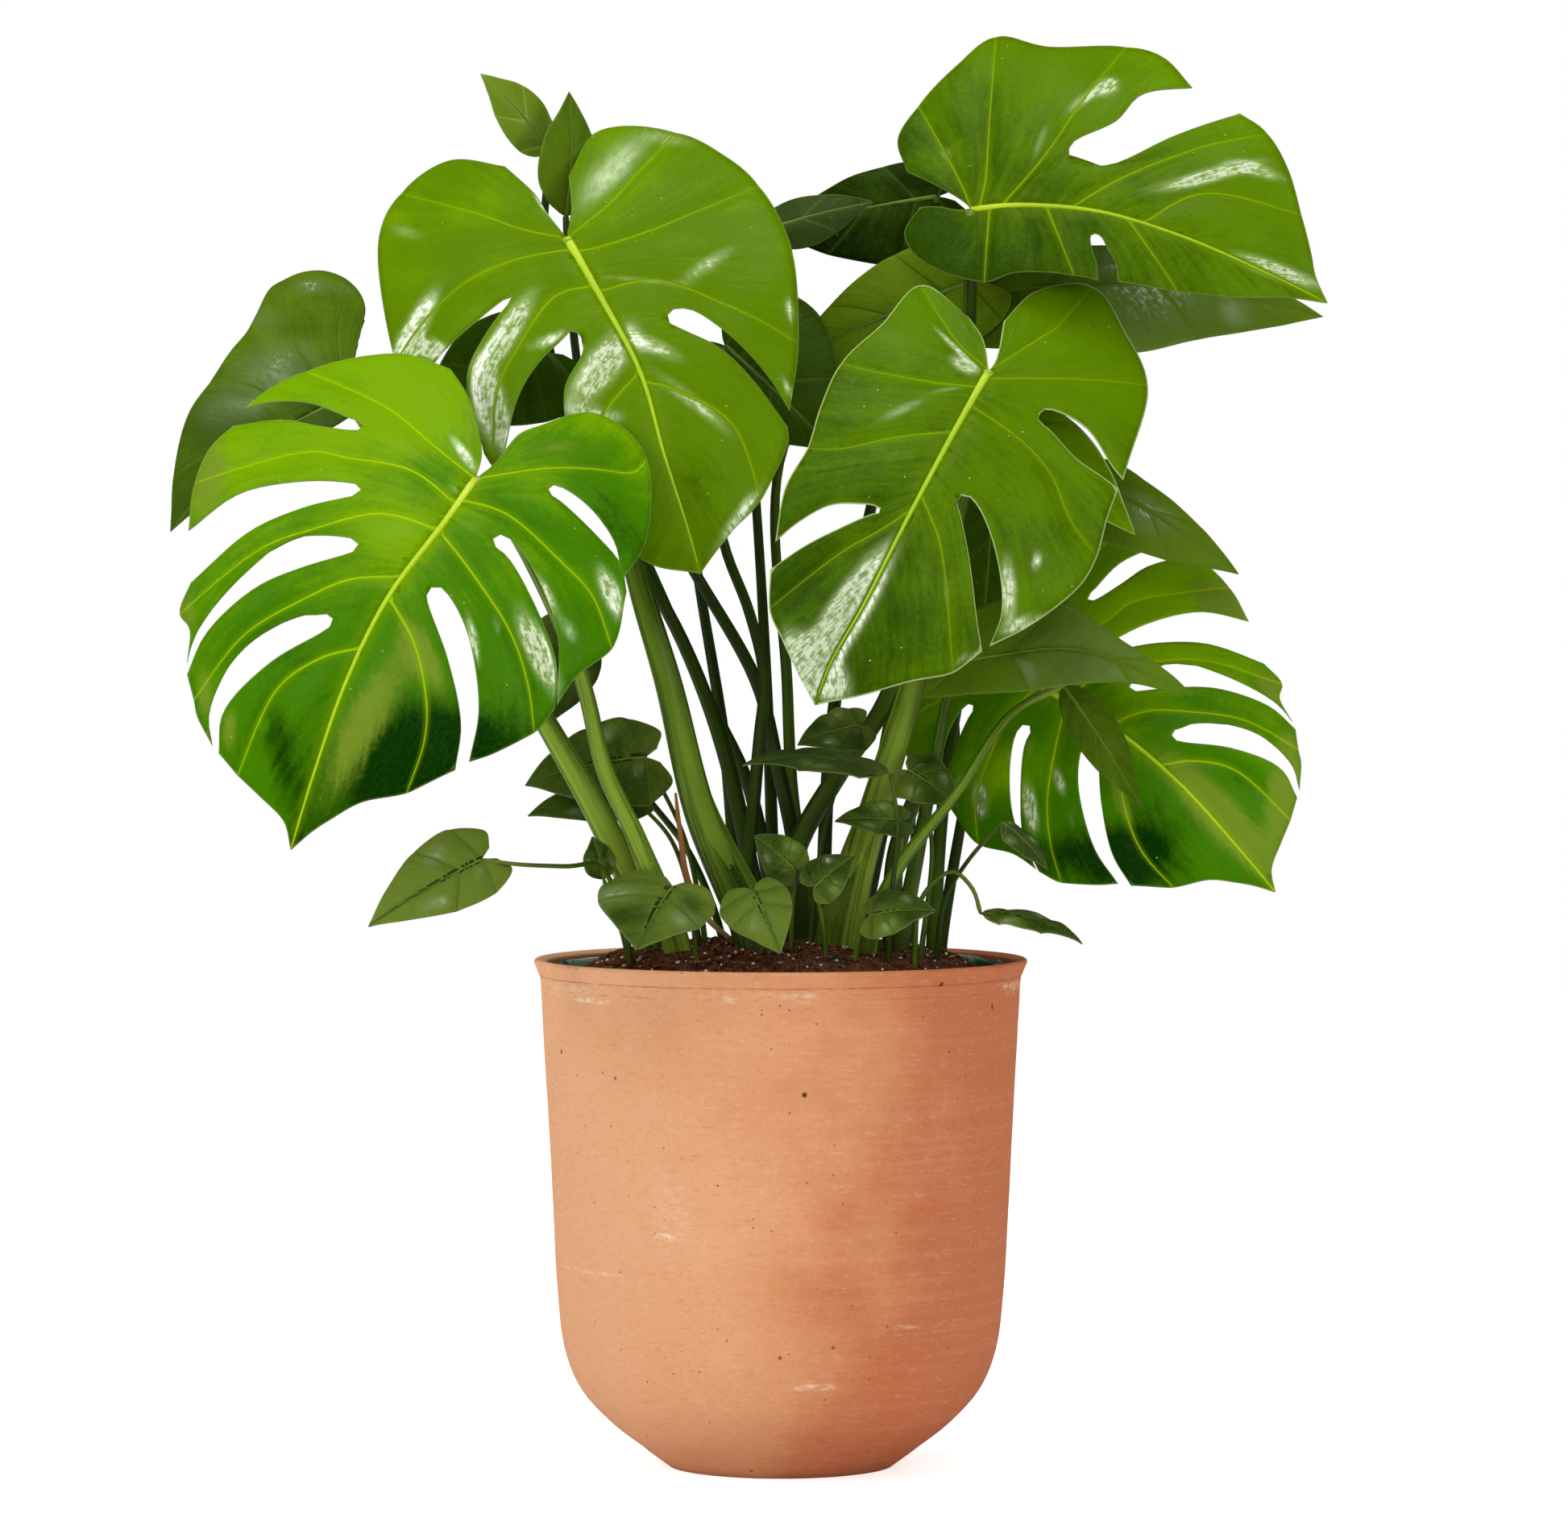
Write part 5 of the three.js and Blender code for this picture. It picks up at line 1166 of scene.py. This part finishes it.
grow("lower_left", SPLIT, young, base=(-177, -173, 596), tip=(-277, -273, 385), face=(0, -1, 0.5),
     arch=0.08, foot=(-60, -54), via=((-86, -72, 384), (-104, -80, 423), (-119, -95, 483),
     (-151, -128, 556)), radii=(7, 3.6), puff=4.0, crease=12.0, shade=(0.45, 0.35, 0.42),
     light_and_shade_patches=((74, 18, 13, 0.75), (-8, -43, 9, 0.14), (66, 24, 8, 0.3), (60, -22, 10, 0.2),
     (56, 34, 8, 0.25), (82, -10, 3.5, 0.3, 4.0, 41), (-6, 31, 8, 0.45, 1.9, 52),
     (-18, 12, 6, 0.3, 2.0, 124), (6, 18, 4, 0.3, 4.0, 80), (98, 0, 1.5, 0.4),
     (34, 23, 2.7, 0.25, 4.9, 50), (77, -17, 1.0, -0.4), (23, -8, 7.7, -0.3),
     (-10, -22, 9.6, -0.3)), painted_sheen=((22, -58, 5.5, 1.2, 2.5, 21), (11, -49, 2.7, 0.5, 1.6, 45),
     (58, -45, 2.5, 0.9, 2.9, 25), (74, -33, 2.3, 1.0, 3.3, 32), (80, -24, 1.9, 1.0, 3.4, 23),
     (68, 4, 5.2, 1.1, 4.1, -3), (49, 10, 3.5, 1.0, 3.2, 51), (-18, 14, 4.2, 0.6, 3.0, 124),
     (-16, -9, 2.1, 0.7, 4.7, 37)), gloss=((14, 40, 2.0, 1.8, 2.9, 45), (36, 32, 2.4, 1.9, 3.8, 47),
     (40, 18, 1.0, 1.4, 5.6, 36), (34, 21, 1.0, 0.6, 2.3, 27), (22, 28, 1.2, 1.2, 4.6, 49),
     (-5, -5, 1.2, 1.3, 4.3, 53), (5, -3, 0.8, 0.7, 1.3, 90), (28, 36, 1.7, 0.6, 1.8, 51),
     (77, -17, 0.6, 0.4, 2.5, 45)), rib_width=2.4, sheath=(0.42, (-0.5, -1)), stalk=stalk_painted_most_lit)
grow("middle_right", MIDDLE_RIGHT, rim_lit, base=(124, -70, 662), tip=(20, -175, 465),
     face=(0, -1, 0.4), foot=(38, -27), via=((45, -33, 358), (63, -38, 421), (78, -42, 470),
     (105, -46, 576)), radii=(12, 4.5), shade=(0.3, -0.2, 0.7), puff=3.2, wave=4.0,
     gloss=((-2, -9, 0.8, 1.4, 9.9, 63), (2, -6, 1.8, 1.2, 2.0, 74), (22, -14, 1.5, 0.55, 4.6, 145),
     (10, -6, 0.8, 0.55, 6.7, 131), (80, -3, 3.4, 3.6, 4.8, -6), (92, -4, 3.8, 3.6, 2.0, 69),
     (54, 29, 1.8, 1.4, 3.8, 27), (60, 36, 1.6, 1.2, 3.6, 135), (44, 32, 1.2, 0.8, 2.1, 11),
     (74, 28, 1.0, 1.1, 3.2, 141), (61, 16, 0.4, 0.9, 11.9, 32)), rib_width=2.6, sheath=(0.36,
     (-0.5, -1)), shoot=SHOOT, stalk=stalk_painted_most_lit)
grow("upper_right", UPPER_RIGHT, glossy, base=(115, -10, 761), tip=(327, -50, 703),
     face=(0, -1, 0.4), arch=0.05, dome=0.35, foot=(-2, -9), via=((10, -8, 376), (37, 0, 423),
     (64, 6, 464), (98, 2, 572), (113, 8, 674)), radii=(7, 4), shade=(-0.3, -0.62, 0.74), puff=3.0,
     wave=4.0, gloss=((24, 47, 2.8, 1.4, 1.2, -63), (20, 42, 1.7, 1.1, 4.0, 60),
     (12, 24, 1.1, 0.6, 5.9, -90), (59, 26, 2.0, 1.5, 6.9, 36), (71, 32, 2.0, 1.0, 3.6, 0),
     (84, 4, 2.2, 1.5, 4.8, -3), (-12, 16, 1.7, 0.5, 1.4, -37)), rib_width=2.0)
grow("lower_right", mirrored(SPLIT), young, base=(147, -5, 480), tip=(294, -86, 352),
     face=(-0.16, -0.9, 0.4), arch=0.08, foot=(68, -4), via=((70, -3, 372), (88, 4, 420),
     (106, 14, 464)), radii=(7, 3.4), puff=4.0, crease=12.0, shade=(0.3, -0.3, 0.4),
     light_and_shade_patches=((66, -20, 11, 0.6), (58, -26, 7, 0.3), (96, 2, 1.4, 0.5), (72, 18, 3.2, 0.3, 2.6, 3),
     (48, -34, 8, 0.3), (10, 28, 9.3, -0.35), (22, 36, 16, -0.22), (30, -36, 7, 0.2),
     (17, -27, 9, -0.35)), painted_sheen=((28, 56, 7, 1.6, 1.6, 14), (59, 44, 3.4, 1.3, 2.9, -4),
     (76, 33, 3.4, 1.4, 2.1, -20), (84, 20, 4.4, 1.6, 2.8, -53), (74, 5, 5.6, 1.5, 4.6, -5),
     (50, -10, 2.8, 1.0, 3.6, -33), (19, -16, 2.3, 0.7, 2.3, -41), (2, -23, 2.1, 0.7, 2.3, -58)),
     gloss=((32, -29, 1.8, 2.0, 3.6, -37), (18, -36, 2.0, 1.9, 2.4, -39),
     (10, -36, 1.6, 1.4, 1.7, -90), (33, -18, 1.4, 1.4, 2.9, -27), (16, -22, 0.9, 0.6, 1.9, -56),
     (77, 17, 0.7, 0.5, 2.0, -45), (44, -24, 1.2, 0.4, 3.1, -45)), rib_width=2.2)

# ------------------------------------------------------------------ the leaves behind them
# Older and younger blades between and behind the big ones, mostly heart or oval, darker and
# less glossy, on thinner stalks.
FAR_LEFT = {
    "mid": ((0, 0), (15, -1), (35, -3), (57, -4), (80, -3), (100, 0)),
    "neg": (
      rib(0, (-11, -8), (-24, -22)),
      rib(0, (-22, -20), (-46, -39)),
      vein(0, (-25, -33), (-57, -60)),
      rib(0, (-12, -29), (-37, -60), (-55, -78)),
      vein(0, (-4, -36), (-37, -83)),
      rib(9, (11, -27), (7, -58)),
      vein(26, (26, -31), (37, -46)),
      rib(44, (45, -22), (59, -36)),
      vein(61, (66, -16), (81, -19)),
      rib(80, (86, -6), (94, -6)),
    ),
    "pos": (
      rib(0, (-1, 4), (-5, 9)),
      rib(9, (10, 5), (12, 10)),
      rib(26, (28, 4), (31, 9)),
      rib(44, (49, 3), (51, 8)),
      rib(61, (66, 1), (69, 4)),
      rib(80, (84, 0), (87, 1)),
    ),
}

UNDER_RIGHT = {
    "mid": ((0, 0), (25, 3), (50, 5), (75, 3), (91, 1), (100, 0)),
    "neg": (
      rib(0, (-2, -3), (-3, -7)),
      vein(0, (2, -8), (1, -14)),
      rib(7, (14, -9), (14, -16)),
      vein(20, (28, -8), (31, -17)),
      rib(36, (45, -7), (48, -16)),
      vein(52, (59, -4), (64, -11)),
      rib(66, (71, -3), (76, -8)),
      vein(79, (85, -2), (89, -4)),
    ),
    "pos": (
      rib(0, (-3, 2), (-6, 4)),
      vein(0, (-1, 5), (-4, 9)),
      rib(7, (11, 8), (11, 13)),
      vein(20, (28, 10), (30, 15)),
      rib(36, (45, 11), (50, 15)),
      vein(52, (61, 9), (68, 12)),
      rib(66, (77, 6), (83, 8)),
      vein(79, (88, 3), (92, 4)),
    ),
}

BELOW_RIGHT = {
    "mid": ((0, 0), (21, 5), (44, 10), (66, 8), (84, 3), (100, 0)),
    "neg": (
      rib(0, (-6, -5), (-11, -9)),
      vein(0, (-7, -11), (-13, -16)),
      rib(4, (8, -8), (10, -15)),
      vein(20, (27, -3), (32, -12)),
      rib(44, (50, 1), (55, -6)),
      vein(66, (71, 3), (75, -2)),
      rib(84, (88, 0), (90, -2)),
    ),
    "pos": (
      rib(0, (-5, 4), (-9, 9)),
      vein(0, (-1, 12), (-1, 22)),
      rib(4, (13, 18), (19, 34)),
      vein(20, (33, 22), (42, 34)),
      rib(44, (54, 17), (61, 22)),
      vein(66, (76, 10), (80, 12)),
      rib(84, (90, 3), (93, 5)),
    ),
}

HEART_HALF = (
    rib(0, (-5, -2), (-10, -5)),
    rib(0, (-10, -9), (-18, -19)),
    vein(0, (-5, -16), (-9, -34)),
    rib(4, (4, -20), (8, -42)),
    vein(12, (20, -22), (28, -43)),
    rib(26, (38, -20), (48, -37)),
    vein(42, (55, -15), (68, -26)),
    rib(66, (76, -8), (86, -12)),
)

HEART = {"mid": STRAIGHT, "neg": HEART_HALF, "pos": mirrored_half(HEART_HALF)}
MEDIUM = {"cells": 14, "rib_width": 1.5, "rib_height": 0.8, "sides": 12, "steps": 48}

grow("far_left", FAR_LEFT, dark, base=(-259, -62, 647), tip=(-359, -118, 566),
     face=(-0.25, -1, 0.35), foot=(-74, -16), via=((-104, -30, 385), (-140, -38, 450),
     (-198, -42, 547), (-240, -48, 615)), radii=(11, 3), shade=(0.2, 0.2, 0.4), sheath=(0.3,
     (0.3, -1)), gloss=((-40, -68, 8, 0.9), (-50, -58, 6, 0.6), (19, -30, 16, 0.55),
     (-8, -62, 10, 0.5), (0, -35, 14, 0.5), (45, -30, 14, 0.5)), stalk=stalk_painted_most_lit, **MEDIUM)
grow("under_upper_right", UNDER_RIGHT, dark, base=(114, 35, 711), tip=(333, 55, 699),
     face=(0, -1, 0.35), foot=(46, 24), via=((62, 32, 420), (88, 54, 560), (106, 52, 660)),
     radii=(6, 3), shade=(0.1, 0.0, -0.2), gloss=((50, 8, 30, 0.8),), **MEDIUM)
grow("below_middle", BELOW_RIGHT, dark, base=(105, -92, 489), tip=(241, -105, 472),
     face=(0, -1, 0.5), foot=(72, -34), via=((82, -38, 372), (92, -43, 425), (99, -62, 465)),
     radii=(6, 2.8), shade=(0.1, 0.0, 0.1), gloss=((50, 8, 30, 0.5),), **MEDIUM)
grow("drooping_right", OVAL, dark, base=(168, -72, 475), tip=(215, -84, 401), face=(0.1, -1, 0.4),
     width=(0.5, 0.5), foot=(50, -62), via=((68, -78, 363), (106, -86, 413), (137, -84, 458)),
     radii=(5.5, 2.2), shade=(0.15, 0.0, 0.28), sheath=(0.34, (0.5, -1)), stalk=stalk_painted_lit,
     **MEDIUM)
grow("right_edge", HEART, dark, base=(183, -12, 601), tip=(275, -40, 541), face=(0.2, -1, 0.5),
     width=(0.7, 0.35), foot=(93, 10), via=((99, 20, 400), (113, 33, 480), (150, 22, 560)),
     radii=(5, 2.5), shade=(0.1, 0.0, -0.12), gloss=((40, 0, 20, 0.8),), **MEDIUM)
grow("behind_slot", OVAL, dark, base=(128, -16, 602), tip=(121, -24, 494), face=(0.1, -1, 0.2),
     width=(0.9, 0.9), foot=(98, 38), via=((118, 52, 430), (132, 50, 520), (135, 22, 584)),
     radii=(4, 2.2), shade=(0.2, 0.0, 0.65), stalk=stalk_painted_shade, **MEDIUM)
grow("back_top", HEART, dark, base=(96, 62, 773), tip=(-7, 80, 752), face=(0, -1, 0.3),
     width=(0.55, 0.85), foot=(26, 68), via=((32, 82, 450), (60, 90, 600), (88, 84, 700)),
     radii=(5, 3), shade=(0.2, 0.0, 0.85), stalk=stalk_painted_shade, **MEDIUM)
grow("curled_back", OVAL, grey, base=(-14, 24, 749), tip=(57, 30, 768), face=(0, -1, 0.3),
     width=(0.66, 0.66), dome=2.5, foot=(-4, 64), via=((-8, 60, 458), (-16, 60, 597),
     (-24, 48, 690), (-22, 36, 732)), radii=(4.5, 2.4), **MEDIUM)
grow("underside", HEART, underside, base=(113, 22, 718), tip=(3, 40, 670), face=(0, -1, 0.2),
     width=(0.65, 0.7), foot=(22, 42), via=((8, 38, 399), (4, 36, 473), (1, 44, 616),
     (50, 58, 684)), radii=(4.5, 2.4), shade=(0.2, 0.0, 0.2), **MEDIUM)
grow("top_young", OVAL, fresh, base=(-140, 14, 797), tip=(-181, -8, 843), face=(0.4, -1, 0.4),
     width=(0.85, 0.85), foot=(-12, 16), via=((-31, 22, 420), (-59, 26, 498), (-124, 38, 616),
     (-141, 46, 675), (-145, 38, 744)), radii=(6, 2.4), stalk=stalk_painted_shade, **MEDIUM)
grow("top_side", OVAL, dark, base=(-130, -2, 757), tip=(-128, 4, 833), face=(0.7, -1, 0),
     width=(0.8, 0.9), foot=(-3, 42), via=((-19, 44, 409), (-44, 48, 463), (-69, 52, 518),
     (-120, 50, 646)), radii=(5, 2.4), shade=(0.3, 0.0, 0.08), stalk=stalk_painted_shade, **MEDIUM)
grow("behind_left", HEART, dark, base=(-142, 14, 675), tip=(-218, -20, 635), face=(0, -1, 0.4),
     foot=(12, 14), via=((9, 12, 371), (-2, 6, 425), (-14, 2, 474), (-51, 4, 540), (-103, 10, 626)),
     radii=(5.5, 2.8), shade=(0.2, 0.0, 0.64), stalk=stalk_painted_shade, **MEDIUM)
grow("between", HEART, dark, base=(-34, 18, 680), tip=(32, 5, 616), face=(0, -1, 0.3),
     width=(1, 1.4), foot=(-22, 0), via=((-19, -8, 371), (-13, -13, 440), (-10, -14, 479),
     (-19, -12, 518), (-35, -6, 562), (-42, 12, 636)), radii=(5, 2.6), shade=(0.2, 0.0, 0.6),
     stalk=stalk_painted_shade, **MEDIUM)
grow("back_left", OVAL, dark, base=(-60, 95, 637), tip=(-52, 150, 554), face=(0, 1, 0.3),
     foot=(-26, 62), via=((-34, 80, 430), (-54, 86, 560)), radii=(5, 2.8), stalk=stalk_painted_shade,
     **MEDIUM)
grow("back_right", OVAL, dark, base=(107, 95, 661), tip=(92, 150, 553), face=(0, 1, 0.3),
     width=(0.9, 0.9), foot=(50, 56), via=((72, 72, 430), (100, 84, 580)), radii=(5, 2.8),
     stalk=stalk_painted_shade, **MEDIUM)

# ------------------------------------------------------------------ the small low leaves
# Seedling leaves of the same plant, on short thin stalks close to the soil.
SMALL_HEART_HALF = (
    rib(0, (-5, -3), (-11, -7)),
    rib(0, (-10, -12), (-17, -25)),
    vein(0, (2, -21), (6, -42)),
    vein(20, (31, -21), (41, -39)),
    rib(50, (63, -12), (75, -20)),
)

SMALL_HEART = {"mid": STRAIGHT, "neg": SMALL_HEART_HALF, "pos": mirrored_half(SMALL_HEART_HALF)}
SMALL = {"arch": 0.08, "dome": 0.4, "radii": (2, 1.2), "cells": 12, "cell": 2.2, "puff": 2.6,
         "crease": 4.0, "wave": 2.5, "rib_width": 0.9, "rib_height": 0.5, "sides": 10,
         "steps": 30, "shade": (0.3, 0.2, 0.38),
         "light_and_shade_patches": ((16, 26, 12, 0.3, 1.6, 30), (62, -14, 9, 0.28, 1.8, -40),
                     (30, -30, 9, -0.25, 1.6, 20)),
         "gloss": ((30, -24, 9, 0.7, 1.6, 40), (52, 20, 8, 0.6, 1.8, -30),
                   (8, 12, 6, 0.5, 2.0, 60))}

def seedling(leaf, shape, skins, **sizes):
    """A small leaf, with what all of them share."""
    grow(leaf, shape, skins, **{**SMALL, **sizes})

seedling("low_far_left", SMALL_HEART, low, base=(-176, -120, 373), tip=(-241, -150, 335),
         face=(0.25, -1, 0.5), width=(0.75, 0.65), foot=(-90, -58), via=((-97, -60, 345),
         (-107, -68, 366), (-128, -98, 368), (-156, -115, 370)), shade=(0.3, 0.2, -0.4))
seedling("low_front_left", SMALL_HEART, low, base=(-64, -95, 356), tip=(-85, -120, 319),
         face=(0, -0.8, 1), width=(2.15, 1.4), foot=(-50, -82), via=((-54, -88, 340),),
         shade=(0.3, 0.0, 0.16), gloss=((30, -30, 16, 0.8), (40, 25, 14, 0.6)))
seedling("low_front", SMALL_HEART, low, base=(-16, -100, 353), tip=(0, -122, 317),
         face=(0, -1, 0.5), width=(1.2, 1), foot=(-12, -80), via=((-13, -86, 338),),
         shade=(0.3, 0.3, -0.25), gloss=((50, -10, 20, 0.35),))
seedling("low_middle_a", SMALL_HEART, low, base=(8, -84, 366), tip=(-16, -82, 386),
         face=(0, -1, 0.5), width=(1.1, 1.1), foot=(6, -68), via=((7, -72, 345),))
seedling("low_middle_b", SMALL_HEART, low, base=(20, -95, 356), tip=(44, -92, 374),
         face=(0, -1, 0.5), width=(1.1, 1.1), foot=(27, -80), via=((24, -87, 338),))
seedling("low_middle_c", SMALL_HEART, low, base=(72, -70, 394), tip=(32, -78, 394),
         face=(0, -0.9, 0.6), width=(0.7, 0.7), foot=(64, -50), via=((68, -58, 350),
         (72, -64, 378)))
seedling("low_right_front", SMALL_HEART, low, base=(54, -100, 339), tip=(92, -113, 342),
         face=(0, -1, 0.8), foot=(44, -88), via=((48, -95, 330),))
seedling("low_far_right", OVAL, low, base=(119, -80, 339), tip=(179, -95, 322), face=(0, -0.25, 1),
         width=(0.8, 0.8), foot=(80, -74), via=((84, -76, 348), (102, -78, 364), (114, -80, 354)))
seedling("low_right_folded", OVAL, grey, base=(132, -70, 393), tip=(159, -80, 365),
         face=(0.5, -1, 0.6), width=(0.8, 0.5), foot=(94, -44), via=((98, -54, 345),
         (112, -64, 370)))
seedling("low_edge_on", OVAL, grey, base=(65, -102, 423), tip=(-23, -112, 428), face=(0, -0.3, 1),
         width=(0.8, 0.8), foot=(64, -76), via=((66, -83, 350), (69, -94, 385), (68, -100, 405)))
seedling("low_behind_middle", SMALL_HEART, low, base=(48, -22, 450), tip=(10, -26, 438),
         face=(0, -1, 0.8), foot=(18, -26), via=((26, -22, 385), (40, -18, 430)))
seedling("low_left_a", SMALL_HEART, low, base=(-82, -2, 430), tip=(-155, -5, 413),
         face=(0, -1, 0.7), foot=(-46, -8), via=((-58, -4, 380),))
seedling("low_left_b", SMALL_HEART, low, base=(-90, 14, 405), tip=(-154, 10, 394),
         face=(0, -1, 0.7), width=(0.6, 0.6), foot=(-50, 14), via=((-66, 14, 378),))
seedling("low_left_c", OVAL, low, base=(-126, 14, 518), tip=(-147, -4, 446), face=(0.4, -1, 0.2),
         foot=(-36, 26), via=((-56, 24, 371), (-84, 30, 408), (-116, 32, 459)), radii=(2.6, 1.5))
seedling("low_right_a", SMALL_HEART, low, base=(76, -61, 424), tip=(106, -71, 402),
         face=(0, -1, 0.7), width=(1.1, 1.1), foot=(84, -57), via=((90, -58, 385),))
seedling("low_right_b", SMALL_HEART, low, base=(91, 43, 464), tip=(108, 42, 425), face=(0, -1, 0.4),
         width=(0.7, 0.7), foot=(80, 38), via=((82, 40, 400),))
seedling("low_left_stub", OVAL, low, base=(-106, -52, 358), tip=(-113, -50, 384),
         face=(0.3, -1, 0.3), width=(1.2, 1.2), foot=(-92, -40), via=((-98, -45, 335),))
